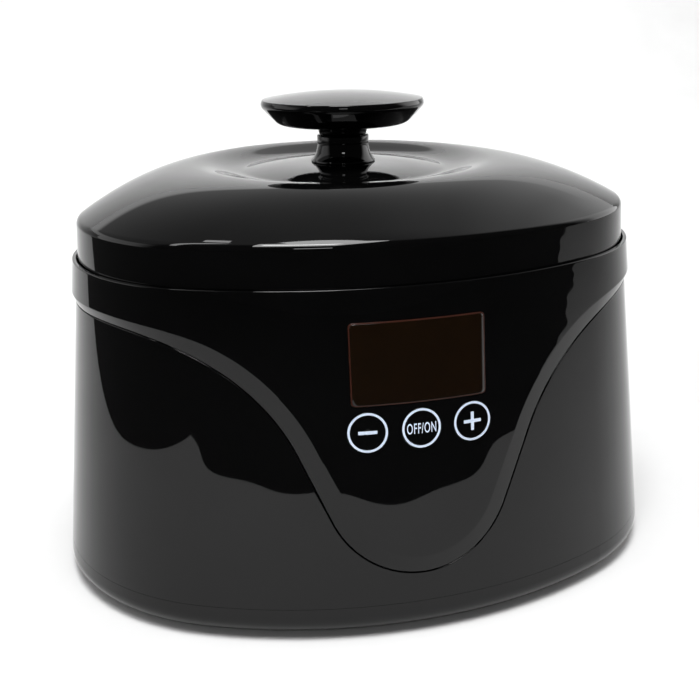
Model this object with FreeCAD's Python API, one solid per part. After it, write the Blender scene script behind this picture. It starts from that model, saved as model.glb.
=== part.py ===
import FreeCAD, Part
import math
import os

V = FreeCAD.Vector

# Wax warmer pot with a lift-off lid and a lift-out wax pot. Millimetres, +Z up.
# The origin is under the middle of the housing, on the surface the feet stand on.
# -Y is the front, where the display is. Every wall is one rounded-triangle outline,
# grown or shrunk at each height, so the arcs keep their centres from base to rim.

# Outline at the foot of the wall: tangent arcs, right-hand half, front to rear.
# An angle is the direction of the outward normal, from +X towards +Y.
FRONT_RADIUS = 160.0
CORNER_RADIUS = 75.0
SIDE_RADIUS = 163.5
FRONT_END = -62.6
CORNER_END = 33.0
SIDE_END = 66.6
ARC_SPANS = ((-90.0, FRONT_END), (FRONT_END, CORNER_END), (CORNER_END, SIDE_END), (SIDE_END, 90.0))
FRONT_Y = -96.25

# Housing heights and walls.
FOOT_HEIGHT = 2.0
TRAY_TOP = 12.0
RIM_TOP = 118.6
WALL_INSET = 12.0
WALL = 2.6
BOTTOM_ROUND = 5.8
TRAY_FLOOR = 3.0
LEAN = math.degrees(math.atan(WALL_INSET / (RIM_TOP - FOOT_HEIGHT)))

# The upper housing stands proud and comes down the front in a round-ended tongue.
PROUD = 1.5
BEVEL_WIDTH = 6.2
TONGUE_BOTTOM = 22.3
TONGUE_RADIUS = 32.6
TONGUE_SLOPE = 66.6
TONGUE_STRAIGHT = 25.0
HIP_RADIUS = 64.5
RIM_LIP = 1.4
DECK_TOP = 114.0
DECK = 2.6

# Lid, with a raised ring round a shallow dish, and its knob.
LID_GAP = 0.3
LID_BOTTOM = DECK_TOP + LID_GAP
LID_WALL = 2.2
LID_INSET = 1.9
SKIRT_LEAN = 0.05
SHOULDER_BASE = 130.4
SHOULDER_ROUND = 3.0
SHOULDER_TURN = 50.0
DOME_POWER = 1.9
RING_RADIUS = 57.0
RING_TOP = 146.2
DISH_RADIUS = 38.0
DISH_BOTTOM = 143.0
STEM_FOOT_RADIUS = 12.1
STEM_FOOT = 145.5
STEM_TOP = 155.6
SPIGOT_RADIUS = 6.0
SPIGOT_TOP = 161.5
KNOB_SCREW_TOP = 166.0
KNOB_UNDERSIDE = 159.6
KNOB_RIM = 168.8
KNOB_TOP = 171.6
KNOB_RADIUS = 30.6

# Wax pot and the heated well that it stands in, on one vertical axis.
POT_Y = 4.3
WELL_RADIUS = 54.5
WELL_WALL = 1.5
WELL_BOTTOM = 44.0
GASKET = 0.8
WELL_FLANGE_RADIUS = 66.0
FLANGE = 1.2
POT_RADIUS = 53.0
POT_WALL = 1.2
POT_TAPER = 2.0
POT_FLANGE_RADIUS = 59.0
POT_CLEARANCE = 0.3
POT_LIP = DECK_TOP + GASKET + FLANGE + POT_CLEARANCE + FLANGE
EAR_X = 56.0
BAIL_Z = POT_LIP + 4.5
BAIL_STRAIGHT = 6.0
BAIL_RADIUS = 60.5
BAIL_WIRE = 1.75
PIN_CLEARANCE = 0.07

# Heater and what hangs under the well.
BAND_SPAN = (52.0, 92.0)
BAND = 2.5
BAND_GAP = 9.0
STUD = 1.5
STUD_CIRCLE = 44.0
SHIELD_Z = 34.0
SHIELD_RADIUS = 58.0
SHEET = 0.8

# Front panel, on an axis square to the leaning front wall.
WINDOW_WIDTH = 45.6
WINDOW_LOW = 81.0
WINDOW_HIGH = 108.0
WINDOW_ROUND = 1.5
WINDOW_PROUD = 0.35
BUTTON_HEIGHT = 72.3
BUTTON_PITCH = 17.8
BUTTON_RADIUS = 6.8
BUTTON_GAP = 0.2
BUTTON_CLEARANCE = 0.3
BUTTON_TRAVEL = 0.6
BUTTON_FLANGE = 7.3
BUTTON_X = (-BUTTON_PITCH, 0.0, BUTTON_PITCH)
WINDOW_LIP = 0.9
WINDOW_LIP_GAP = 0.05
PANEL_LOW = 55.0
BOARD = 1.6
BOARD_DEPTH = 14.0
BOARD_HALF = 32.0
BOARD_SPAN = (60.0, 109.0)
BOARD_POST = 2.9
DISPLAY_TALL = 8.0
SWITCH_TALL = 4.3
BUTTON_STEM_END = BOARD_DEPTH - SWITCH_TALL - BUTTON_TRAVEL - BUTTON_CLEARANCE

# Fasteners, posts and feet.
SCREW = 1.5
SCREW_HEAD = 2.8
HEAD_TALL = 2.0
WELL_SCREW_CIRCLE = 63.2
BOSS = 4.0
BRACKET_Z = 78.0
BRACKET = 8.0
BRACKET_REACH = 10.0
BRACKET_ANGLES = (-25.0, 60.0)
BASE_POST_TOP = 34.0
BASE_POST_ANGLES = (-45.0, 45.0)
FOOT_RADIUS = 7.0
FOOT_SINK = 1.2
FOOT_REACH = 20.0
FOOT_ANGLES = (-60.0, 52.0)
VENTS = 7
VENT_WIDTH = 2.5
VENT_PITCH = 8.0
VENT_SPAN = (55.0, 78.0)

# Power board on the base.
POWER_BOARD_X = (-38.0, 38.0)
POWER_BOARD_Y = (-20.0, 48.0)
POWER_BOARD_Z = 9.0
POWER_BOARD_TOP = POWER_BOARD_Z + BOARD
TERMINAL_Y = (38.0, 46.0)
TERMINAL_X = (-11.0, -4.0, 4.0, 11.0)
TERMINAL_HOLE = 3.8
WIRE = 1.1
RIBBON_WIDTH = 14.0

# Rear mains inlet, set in a flat pad on the wall.
INLET_Y = 93.0
INLET_FACE = INLET_Y + 1.2
INLET_HEIGHT = 27.0
INLET_WIDTH = 24.0
INLET_TALL = 15.0
PAD_WIDTH = 34.0
PAD_TALL = 20.0
PAD_DEEP = 4.0
PIN_RADIUS = 1.2
PIN_TAIL = 8.0
SOCKET_WIDTH = 15.4
SOCKET_TALL = 7.6
SOCKET_DEPTH = 10.0
PIN_PITCH = 8.6


def direction(angle):
    return V(math.cos(math.radians(angle)), math.sin(math.radians(angle)), 0)


def arc_centres(radii, front):
    """Centres of the right-hand arcs of an outline whose front is at y = front."""
    point = V(0, front, 0)
    centres = []
    for radius, (start, end) in zip(radii, ARC_SPANS):
        centre = point - direction(start) * radius
        centres.append(centre)
        point = centre + direction(end) * radius
    return centres


def closing_radius():
    """Rear radius that brings the outline back to the centre line."""
    radii = (FRONT_RADIUS, CORNER_RADIUS, SIDE_RADIUS)
    side_centre = arc_centres(radii, FRONT_Y)[2]
    side_end = side_centre + direction(SIDE_END) * SIDE_RADIUS
    return side_end.x / math.cos(math.radians(SIDE_END))


FOOT_PLAN = ((FRONT_RADIUS, CORNER_RADIUS, SIDE_RADIUS, closing_radius()), FRONT_Y)


def grown(plan, offset):
    radii, front = plan
    return tuple(radius + offset for radius in radii), front - offset


def blended(plan, other, share):
    """The outline that is a share of the way from one plan to another."""
    radii, front = plan
    other_radii, other_front = other
    mixed = tuple(start + (end - start) * share for start, end in zip(radii, other_radii))
    return mixed, front + (other_front - front) * share


def circle(radius):
    return (radius,) * 4, POT_Y - radius


def wall_plan(height, offset=0.0):
    """The lower wall's outline at a height, grown by offset."""
    inset = WALL_INSET * (height - FOOT_HEIGHT) / (RIM_TOP - FOOT_HEIGHT)
    return grown(FOOT_PLAN, offset - inset)


def wall_point(angle, height, offset=0.0):
    """Where the wall faces a given direction, on the right-hand side."""
    radii, front = wall_plan(height, offset)
    centres = arc_centres(radii, front)
    for radius, centre, (start, end) in zip(radii, centres, ARC_SPANS):
        if start <= angle <= end:
            point = centre + direction(angle) * radius
            return V(point.x, point.y, height)


def plan_wire(plan, height):
    radii, front = plan
    right = list(zip(arc_centres(radii, front), radii, ARC_SPANS))
    left = [(V(-c.x, c.y, 0), r, (180 - end, 180 - start)) for c, r, (start, end) in right]
    front_arc = (right[0][0], radii[0], (-180 - FRONT_END, FRONT_END))
    rear_arc = (right[3][0], radii[3], (SIDE_END, 180 - SIDE_END))
    edges = []
    for centre, radius, (start, end) in (front_arc, right[1], right[2], rear_arc, left[2], left[1]):
        points = [centre + direction(angle) * radius for angle in (start, (start + end) / 2, end)]
        points = [V(point.x, point.y, height) for point in points]
        edges.append(Part.Arc(*points).toShape())
    return Part.Wire(edges)


def loft(sections):
    return Part.makeLoft([plan_wire(plan, height) for plan, height in sections], True, True)


def wall_solid(low, high, offset):
    return loft([(wall_plan(low, offset), low), (wall_plan(high, offset), high)])


def cylinder(radius, low, high, x=0.0, y=0.0):
    return Part.makeCylinder(radius, high - low, V(x, y, low))


def box(x_span, y_span, z_span):
    corner = V(x_span[0], y_span[0], z_span[0])
    sizes = [span[1] - span[0] for span in (x_span, y_span, z_span)]
    return Part.makeBox(*sizes, corner)


def joined(shapes):
    first, *rest = shapes
    result = first.fuse(rest) if rest else first
    return result.removeSplitter()


def both_sides(shape):
    return [shape, shape.mirror(V(0, 0, 0), V(1, 0, 0))]


def turned(points, y=POT_Y):
    """Solid of revolution about the vertical axis at y. A point is (radius, height);
    a point between two others in its own tuple is on an arc from one to the next."""
    edges = []
    place = lambda point: V(point[0], y, point[1])
    for start, end in zip(points, points[1:] + points[:1]):
        if len(start) == 3:
            edges.append(Part.Arc(place(start), place(start[2]), place(end)).toShape())
        else:
            edges.append(Part.makeLine(place(start), place(end)))
    return Part.Face(Part.Wire(edges)).revolve(V(0, y, 0), V(0, 0, 1), 360)


def path(points, bend):
    """Straight runs joined by tangent arcs of one radius."""
    edges = []
    here = points[0]
    for previous, corner, following in zip(points, points[1:], points[2:]):
        back = (previous - corner).normalize()
        ahead = (following - corner).normalize()
        half_turn = (math.pi - back.getAngle(ahead)) / 2
        reach = bend * math.tan(half_turn)
        start = corner + back * reach
        end = corner + ahead * reach
        inward = (back + ahead).normalize()
        middle = corner + inward * (bend / math.cos(half_turn) - bend)
        edges.append(Part.makeLine(here, start))
        edges.append(Part.Arc(start, middle, end).toShape())
        here = end
    edges.append(Part.makeLine(here, points[-1]))
    return Part.Wire(edges)


def tube(points, radius, bend):
    section = Part.Wire(Part.makeCircle(radius, points[0], points[1] - points[0]))
    return path(points, bend).makePipeShell([section], True, False)


# Front panel frame: across is X, up runs up the leaning wall, out is square to it.

PANEL_UP = V(0, math.sin(math.radians(LEAN)), math.cos(math.radians(LEAN)))
PANEL_OUT = V(0, -math.cos(math.radians(LEAN)), math.sin(math.radians(LEAN)))


def panel_point(x, height, depth=0.0):
    """Point on the panel's centre-line plane, depth inwards from the proud surface."""
    surface = V(x, wall_plan(height, PROUD)[1], height)
    return surface - PANEL_OUT * depth


def panel_block(x_span, height_span, depth_span, corner=0.0):
    """Rounded block square to the panel, from one depth to another."""
    low = panel_point(x_span[0], height_span[0], depth_span[0])
    width = x_span[1] - x_span[0]
    tall = (height_span[1] - height_span[0]) / math.cos(math.radians(LEAN))
    right = V(1, 0, 0)
    corners = [low, low + right * width, low + right * width + PANEL_UP * tall, low + PANEL_UP * tall]
    face = Part.Face(Part.makePolygon(corners + corners[:1]))
    block = face.extrude(PANEL_OUT * (depth_span[0] - depth_span[1]))
    if corner:
        lengthwise = [e for e in block.Edges if abs(e.tangentAt(e.FirstParameter).dot(PANEL_OUT)) > 0.99]
        block = block.makeFillet(corner, lengthwise)
    return block


def panel_cylinder(x, height, radius, depth_span):
    base = panel_point(x, height, depth_span[1])
    return Part.makeCylinder(radius, depth_span[1] - depth_span[0], base, PANEL_OUT)


# Housing


def above_tongue_edge(rise=0.0):
    """Everything above the tongue's edge and the seam round the sides and rear.
    rise moves the edge up and inwards by that distance, square to itself."""
    slope = math.radians(TONGUE_SLOPE)
    tip_radius = TONGUE_RADIUS - rise
    hip_radius = HIP_RADIUS + rise
    tip_centre = TONGUE_BOTTOM + TONGUE_RADIUS
    along = (math.cos(slope), math.sin(slope))
    across = (math.sin(slope), -math.cos(slope))

    def on_tip(angle):
        return tip_radius * math.sin(angle), tip_centre - tip_radius * math.cos(angle)

    tip_end = on_tip(slope)
    hip_start = (tip_end[0] + TONGUE_STRAIGHT * along[0], tip_end[1] + TONGUE_STRAIGHT * along[1])
    hip_centre = (hip_start[0] + hip_radius * across[0], hip_start[1] + hip_radius * across[1])

    def on_hip(angle):
        x = hip_centre[0] - hip_radius * math.sin(angle)
        return x, hip_centre[1] + hip_radius * math.cos(angle)

    far_front, far_side, far_up = -150.0, 150.0, 200.0
    widest_y = arc_centres(*FOOT_PLAN)[1].y
    seam = hip_centre[1] + hip_radius
    seam_end = (far_side, seam)
    top = (far_side, far_up)
    place = lambda point, side: V(side * point[0], far_front, point[1])
    edges = []
    for side in (1, -1):
        tip = [place(point, side) for point in (on_tip(0), on_tip(slope / 2), tip_end)]
        hip = [place(point, side) for point in (hip_start, on_hip(slope / 2), on_hip(0))]
        edges.append(Part.Arc(*tip))
        edges.append(Part.LineSegment(tip[-1], hip[0]))
        edges.append(Part.Arc(*hip))
        edges.append(Part.LineSegment(hip[-1], place(seam_end, side)))
        edges.append(Part.LineSegment(place(seam_end, side), place(top, side)))
    edges.append(Part.LineSegment(place(top, 1), place(top, -1)))
    outline = Part.Wire(Part.__sortEdges__([edge.toShape() for edge in edges]))
    front = Part.Face(outline).extrude(V(0, widest_y - far_front, 0))
    rear = box((-far_side, far_side), (widest_y, far_side), (seam, far_up))
    return joined([front, rear])


def beveled(body):
    """Bevel the proud surface down to flush along the tongue's edge and the seam."""
    edges = []
    for edge in body.Edges:
        faces = body.ancestorsOfType(edge, Part.Face)
        cones = [face for face in faces if isinstance(face.Surface, Part.Cone)]
        middle = edge.valueAt((edge.FirstParameter + edge.LastParameter) / 2)
        if len(cones) == 1 and middle.z < RIM_TOP - 1:
            edges.append(edge)
    return body.makeChamfer(BEVEL_WIDTH, PROUD, edges)


def inside_wall(angle, height, reach):
    """Point inside the right-hand wall, reach in from its outer face."""
    return wall_point(angle, height, -reach)


def pairs_of_posts(places, low, high, radius):
    posts = []
    for place in places:
        posts += both_sides(cylinder(radius, low, high, place.x, place.y))
    return posts


def bracket_places(reach=BRACKET_REACH):
    return [inside_wall(angle, BRACKET_Z, reach) for angle in BRACKET_ANGLES]


def foot_places():
    return [inside_wall(angle, FOOT_HEIGHT, FOOT_REACH) for angle in FOOT_ANGLES]


def well_screw_places():
    turns = [direction(angle) * WELL_SCREW_CIRCLE for angle in (45, 135, 225, 315)]
    return [(turn.x, POT_Y + turn.y) for turn in turns]


def stud_places():
    turns = [direction(angle) * STUD_CIRCLE for angle in (90, 210, 330)]
    return [(turn.x, POT_Y + turn.y) for turn in turns]


def board_screw_places():
    half = BOARD_HALF - 4
    return [(x, height) for x in (-half, half) for height in (BOARD_SPAN[0] + 4.5, BOARD_SPAN[1] - 4)]


def power_screw_places():
    return [(x, y) for x in (POWER_BOARD_X[0] + 4, POWER_BOARD_X[1] - 4)
            for y in (POWER_BOARD_Y[0] + 4, POWER_BOARD_Y[1] - 4)]


def pad_heights(margin):
    half = PAD_TALL / 2 + margin
    return INLET_HEIGHT - half, INLET_HEIGHT + half


def inlet_heights(tall):
    return INLET_HEIGHT - tall / 2, INLET_HEIGHT + tall / 2


def base_post_places():
    return [inside_wall(angle, BASE_POST_TOP, WALL + BOSS - 1) for angle in BASE_POST_ANGLES]


def panel_holes(margin):
    """Openings for the display window and the three buttons."""
    window = panel_block(
        (-WINDOW_WIDTH / 2 - margin, WINDOW_WIDTH / 2 + margin),
        (WINDOW_LOW - margin, WINDOW_HIGH + margin),
        (-3, 9), WINDOW_ROUND)
    holes = [panel_cylinder(x, BUTTON_HEIGHT, BUTTON_RADIUS + margin, (-3, 9)) for x in BUTTON_X]
    return [window] + holes


def upper_housing():
    hollow = wall_solid(TRAY_TOP - 1, DECK_TOP - DECK, PROUD - WALL)
    seat_plan = wall_plan(RIM_TOP, PROUD - RIM_LIP)
    lid_seat = loft([(seat_plan, DECK_TOP), (seat_plan, RIM_TOP + 1)])
    body = beveled(wall_solid(TRAY_TOP, RIM_TOP, PROUD).common(above_tongue_edge()))
    board_posts = [panel_cylinder(*place, BOARD_POST, (1, BOARD_DEPTH)) for place in board_screw_places()]
    deck_posts = pairs_of_posts(bracket_places(), BRACKET_Z, DECK_TOP - 1, BOSS)
    body = joined([body.cut(hollow)] + board_posts + deck_posts)
    well_hole = cylinder(WELL_RADIUS + WELL_WALL + 1, DECK_TOP - 20, RIM_TOP, y=POT_Y)
    pilots = pairs_of_posts(bracket_places(), BRACKET_Z - 1, BRACKET_Z + 14, SCREW)
    pilots += [panel_cylinder(*place, SCREW, (5, BOARD_DEPTH + 1)) for place in board_screw_places()]
    pilots += [cylinder(SCREW, DECK_TOP - 8, RIM_TOP, *place) for place in well_screw_places()]
    outside = wall_solid(TRAY_TOP, RIM_TOP, PROUD + 20).cut(wall_solid(TRAY_TOP - 1, RIM_TOP + 1, PROUD))
    return body.cut([lid_seat, well_hole, outside] + pilots + panel_holes(BUTTON_GAP))


def lower_housing():
    shell = wall_solid(TRAY_TOP, RIM_TOP, 0).cut(wall_solid(TRAY_TOP - 1, RIM_TOP + 1, -WALL))
    shell = shell.cut(above_tongue_edge())
    inside = wall_solid(TRAY_TOP, RIM_TOP, -WALL / 2)
    reaches = (BRACKET_REACH, BRACKET_REACH * 0.7, BRACKET_REACH * 0.4)
    places = [place for reach in reaches for place in bracket_places(reach)]
    brackets = pairs_of_posts(places, BRACKET_Z - BRACKET, BRACKET_Z, BOSS + 1)
    posts = pairs_of_posts(base_post_places(), TRAY_TOP, BASE_POST_TOP, BOSS)
    supports = [support.common(inside) for support in brackets + posts]
    pad = box((-PAD_WIDTH / 2, PAD_WIDTH / 2), (INLET_Y - PAD_DEEP, INLET_Y), pad_heights(1.5))
    body = joined([shell, pad] + supports)
    recess = box((-PAD_WIDTH / 2 + 1, PAD_WIDTH / 2 - 1), (INLET_Y, INLET_Y + 10), pad_heights(0))
    half = INLET_WIDTH / 2
    hole = box((-half, half), (INLET_Y - 15, INLET_Y + 10), inlet_heights(INLET_TALL))
    pilots = pairs_of_posts(bracket_places(), BRACKET_Z - BRACKET - 1, BRACKET_Z + 1, SCREW + 0.1)
    pilots += pairs_of_posts(base_post_places(), TRAY_TOP - 1, BASE_POST_TOP - 3, SCREW)
    return body.cut([recess, hole] + pilots)


def base_tray():
    outer = wall_solid(FOOT_HEIGHT, TRAY_TOP, 0)
    rim = [edge for edge in outer.Edges if edge.BoundBox.ZMax < FOOT_HEIGHT + 0.01]
    outer = outer.makeFillet(BOTTOM_ROUND, rim)
    hollow = wall_solid(FOOT_HEIGHT + TRAY_FLOOR, TRAY_TOP + 1, -WALL - BOTTOM_ROUND / 2)
    floor_top = FOOT_HEIGHT + TRAY_FLOOR
    posts = pairs_of_posts(base_post_places(), FOOT_HEIGHT + 1, TRAY_TOP, BOSS + 0.5)
    standoffs = [cylinder(3, floor_top - 1, POWER_BOARD_Z, *place) for place in power_screw_places()]
    inside = wall_solid(FOOT_HEIGHT + 0.5, TRAY_TOP, -WALL)
    body = joined([outer.cut(hollow)] + [post.common(inside) for post in posts] + standoffs)
    holes = pairs_of_posts(base_post_places(), 0, TRAY_TOP + 1, SCREW + 0.1)
    holes += pairs_of_posts(base_post_places(), 0, FOOT_HEIGHT + 4, SCREW_HEAD + 0.4)
    holes += pairs_of_posts(foot_places(), 0, FOOT_HEIGHT + FOOT_SINK, FOOT_RADIUS)
    holes += [cylinder(SCREW, floor_top, POWER_BOARD_Z + 1, *place) for place in power_screw_places()]
    for number in range(VENTS):
        x = (number - (VENTS - 1) / 2) * VENT_PITCH
        holes.append(box((x - VENT_WIDTH / 2, x + VENT_WIDTH / 2), VENT_SPAN, (0, floor_top + 1)))
    return body.cut(holes)


def rubber_feet():
    feet = pairs_of_posts(foot_places(), 0, FOOT_HEIGHT + FOOT_SINK, FOOT_RADIUS)
    soft = []
    for foot in feet:
        ring = [edge for edge in foot.Edges if edge.BoundBox.ZMax < 0.01]
        soft.append(foot.makeFillet(0.8, ring))
    return Part.makeCompound(soft)


def screw(low, high, x, y, head_down=True):
    """Pan-head screw on a vertical axis, its head at the low end or at the high end."""
    head = (low, low + HEAD_TALL) if head_down else (high - HEAD_TALL, high)
    body = joined([cylinder(SCREW - 0.05, low, high, x, y), cylinder(SCREW_HEAD, *head, x, y)])
    slot_z = low - 1 if head_down else high - 0.6
    slot = box((x - 2, x + 2), (y - 0.3, y + 0.3), (slot_z, slot_z + 1.6))
    return body.cut(slot)


def paired_screws(places, low, high):
    screws = []
    for place in places:
        screws += both_sides(screw(low, high, place.x, place.y))
    return Part.makeCompound(screws)


def base_screws():
    return paired_screws(base_post_places(), FOOT_HEIGHT + 4 - HEAD_TALL, BASE_POST_TOP - 5)


def housing_screws():
    return paired_screws(bracket_places(), BRACKET_Z - BRACKET - HEAD_TALL, BRACKET_Z + 10)


def rating_label():
    return box((-28, 28), (-50, -22), (FOOT_HEIGHT - 0.15, FOOT_HEIGHT))


# Lid and knob


def evenly(start, end, count):
    """Values at equal steps from start to end, without the start."""
    return [start + (end - start) * step / count for step in range(1, count + 1)]


def ring_height(radius):
    """Height of the lid's upper face over the ring's inner slope and the dish's domed floor."""
    if radius >= DISH_RADIUS:
        share = (RING_RADIUS - radius) / (RING_RADIUS - DISH_RADIUS)
        return DISH_BOTTOM + (RING_TOP - DISH_BOTTOM) * (1 + math.cos(math.pi * share)) / 2
    share = (DISH_RADIUS - radius) / (DISH_RADIUS - STEM_FOOT_RADIUS)
    return DISH_BOTTOM + (STEM_FOOT - DISH_BOTTOM) * (1 - (1 - share) ** 2)


def lid_sections(depth):
    """Outlines from the skirt's lower edge up to the stem, depth below the outer face."""
    bottom = LID_BOTTOM - (1 if depth else 0)
    skirt = PROUD - LID_INSET - depth
    lean = SKIRT_LEAN * (SHOULDER_BASE - RIM_TOP)
    radius = SHOULDER_ROUND - depth
    sections = [(wall_plan(RIM_TOP, skirt + SKIRT_LEAN * (RIM_TOP - bottom)), bottom)]
    for angle in [0] + evenly(0, SHOULDER_TURN, 3):
        turn = math.radians(angle)
        pull = radius * (1 - math.cos(turn))
        height = SHOULDER_BASE + radius * math.sin(turn)
        sections.append((wall_plan(RIM_TOP, skirt - lean - pull), height))
    shoulder, low = sections[-1]
    high = RING_TOP - depth
    for share in evenly(0, 1, 8):
        rise = 1 - (1 - share) ** DOME_POWER
        sections.append((blended(shoulder, circle(RING_RADIUS), share), low + (high - low) * rise))
    for radius in evenly(RING_RADIUS, DISH_RADIUS, 6) + evenly(DISH_RADIUS, STEM_FOOT_RADIUS, 5):
        sections.append((circle(radius), ring_height(radius) - depth))
    return sections


def lid_shell():
    body = loft(lid_sections(0)).cut(loft(lid_sections(LID_WALL)))
    seat = cylinder(STEM_FOOT_RADIUS + 1, STEM_FOOT - LID_WALL - 1, STEM_FOOT - 0.5, y=POT_Y)
    bore = cylinder(SCREW + 0.2, STEM_FOOT - 10, STEM_FOOT + 5, y=POT_Y)
    return joined([body, seat]).cut(bore)


def knob_stem():
    return turned([
        (SCREW + 0.1, STEM_FOOT), (STEM_FOOT_RADIUS, STEM_FOOT),
        (STEM_FOOT_RADIUS, STEM_FOOT + 0.5, (10.3, STEM_FOOT + 3.6)), (9.7, STEM_TOP - 2.8),
        (9.8, STEM_TOP - 0.6), (9.5, STEM_TOP),
        (SPIGOT_RADIUS, STEM_TOP), (SPIGOT_RADIUS, SPIGOT_TOP), (SCREW + 0.1, SPIGOT_TOP),
    ])


def dome_middle(radius, low, high):
    """Point halfway out on the sphere that meets the axis at high and the rim at low."""
    sphere = (radius ** 2 + (high - low) ** 2) / (2 * (high - low))
    return radius / 2, high - sphere + math.sqrt(sphere ** 2 - radius ** 2 / 4)


def knob_cap():
    rim_low = KNOB_RIM - 3.2
    rim_radius = KNOB_RADIUS - 0.4
    cap = turned([
        (0, STEM_TOP), (8.8, STEM_TOP), (9.3, STEM_TOP + 1.8, (9.6, KNOB_UNDERSIDE - 0.8)),
        (10.6, KNOB_UNDERSIDE), (22, KNOB_UNDERSIDE, (23.9, KNOB_UNDERSIDE + 0.4)),
        (25.6, KNOB_UNDERSIDE + 1.4), (29.9, rim_low, (KNOB_RADIUS, rim_low + 1.6)),
        (rim_radius, KNOB_RIM, dome_middle(rim_radius, KNOB_RIM, KNOB_TOP)), (0, KNOB_TOP),
    ])
    socket = cylinder(SPIGOT_RADIUS + 0.05, STEM_TOP - 1, SPIGOT_TOP + 0.1, y=POT_Y)
    pilot = cylinder(SCREW, STEM_TOP, KNOB_SCREW_TOP + 0.5, y=POT_Y)
    return cap.cut([socket, pilot])


def knob_washer():
    disc = cylinder(6, STEM_FOOT - LID_WALL - 2, STEM_FOOT - LID_WALL - 1, y=POT_Y)
    return disc.cut(cylinder(SCREW + 0.1, STEM_FOOT - 10, STEM_FOOT, y=POT_Y))


def knob_screw():
    return screw(STEM_FOOT - LID_WALL - 2 - HEAD_TALL, KNOB_SCREW_TOP, 0, POT_Y)


# Wax pot, its bail, and the heated well


def wax_pot():
    floor = WELL_BOTTOM + WELL_WALL + POT_CLEARANCE
    lip_low = POT_LIP - FLANGE
    foot = POT_RADIUS - POT_TAPER
    inner = POT_RADIUS - POT_WALL
    inner_foot = foot - POT_WALL
    pot = turned([
        (0, floor), (foot - 4, floor, (foot - 1.2, floor + 1.2)), (foot, floor + 4),
        (POT_RADIUS, lip_low), (POT_FLANGE_RADIUS, lip_low), (POT_FLANGE_RADIUS, POT_LIP),
        (inner, POT_LIP), (inner_foot, floor + 4, (inner_foot - 0.9, floor + POT_WALL + 0.9)),
        (inner_foot - 3, floor + POT_WALL), (0, floor + POT_WALL),
    ])
    ear = box((EAR_X - 1, EAR_X + 1), (POT_Y - 5, POT_Y + 5), (POT_LIP - 0.5, BAIL_Z))
    top = Part.makeCylinder(5, 2, V(EAR_X - 1, POT_Y, BAIL_Z), V(1, 0, 0))
    hole = Part.makeCylinder(BAIL_WIRE + PIN_CLEARANCE, 6, V(EAR_X - 3, POT_Y, BAIL_Z), V(1, 0, 0))
    ears = both_sides(joined([ear, top]).cut(hole))
    return joined([pot] + ears)


def bail_handle():
    """Wire hoop lying forwards on the pot's lip, its ends turned in through the ears."""
    bend = 3.0
    end = V(EAR_X - 3, POT_Y, BAIL_Z)
    corner = V(BAIL_RADIUS, POT_Y, BAIL_Z)
    pin = Part.makeLine(end, corner - V(bend, 0, 0))
    turn_middle = corner + V(-bend, -bend, 0) + direction(45) * bend
    turn = Part.Arc(corner - V(bend, 0, 0), turn_middle, corner - V(0, bend, 0)).toShape()
    run = Part.makeLine(corner - V(0, bend, 0), corner - V(0, BAIL_STRAIGHT, 0))
    mirror = lambda edge: edge.mirror(V(0, 0, 0), V(1, 0, 0))
    front = V(0, POT_Y - BAIL_STRAIGHT - BAIL_RADIUS, BAIL_Z)
    far = corner - V(0, BAIL_STRAIGHT, 0)
    hoop = Part.Arc(far, front, V(-far.x, far.y, far.z)).toShape()
    route = Part.Wire(Part.__sortEdges__([pin, turn, run, hoop, mirror(run), mirror(turn), mirror(pin)]))
    start = route.OrderedVertexes[0].Point
    ahead = V(1, 0, 0) if start.x < 0 else V(-1, 0, 0)
    section = Part.Wire(Part.makeCircle(BAIL_WIRE, start, ahead))
    return route.makePipeShell([section], True, False)


def heating_well():
    outer = WELL_RADIUS + WELL_WALL
    seat = DECK_TOP + GASKET
    well = turned([
        (0, WELL_BOTTOM), (outer - 3, WELL_BOTTOM, (outer - 0.9, WELL_BOTTOM + 0.9)),
        (outer, WELL_BOTTOM + 3), (outer, seat), (WELL_FLANGE_RADIUS, seat),
        (WELL_FLANGE_RADIUS, seat + FLANGE), (WELL_RADIUS, seat + FLANGE),
        (WELL_RADIUS, WELL_BOTTOM + WELL_WALL), (0, WELL_BOTTOM + WELL_WALL),
    ])
    holes = [cylinder(SCREW + 0.1, DECK_TOP, RIM_TOP, *place) for place in well_screw_places()]
    studs = [cylinder(STUD, SHIELD_Z - 4, WELL_BOTTOM, *place) for place in stud_places()]
    return joined([well.cut(holes)] + studs)


def well_gasket():
    ring = cylinder(WELL_FLANGE_RADIUS, DECK_TOP, DECK_TOP + GASKET, y=POT_Y)
    holes = [cylinder(WELL_RADIUS + WELL_WALL + 0.1, 0, RIM_TOP, y=POT_Y)]
    holes += [cylinder(SCREW + 0.1, 0, RIM_TOP, *place) for place in well_screw_places()]
    return ring.cut(holes)


def well_screws():
    top = DECK_TOP + GASKET + FLANGE + HEAD_TALL
    screws = [screw(DECK_TOP - 6, top, *place, head_down=False) for place in well_screw_places()]
    return Part.makeCompound(screws)


def heater_band():
    """Mica heating band round the well, open at the rear where its bolt draws it tight."""
    inner = WELL_RADIUS + WELL_WALL + 0.05
    low, high = BAND_SPAN
    ring = cylinder(inner + BAND, low, high, y=POT_Y).cut(cylinder(inner, low - 1, high + 1, y=POT_Y))
    rear = POT_Y + inner
    gap = box((-BAND_GAP / 2, BAND_GAP / 2), (POT_Y, rear + 20), (low - 1, high + 1))
    lug = box((BAND_GAP / 2, BAND_GAP / 2 + BAND), (rear - 0.3, rear + 12), (low + 8, high - 8))
    core = cylinder(inner, low - 1, high + 1, y=POT_Y)
    lugs = [lug.cut(core) for lug in both_sides(lug)]
    bore = Part.makeCylinder(STUD + 0.1, 40, V(-20, rear + 7, sum(BAND_SPAN) / 2), V(1, 0, 0))
    return joined([ring.cut(gap)] + lugs).cut(bore)


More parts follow.
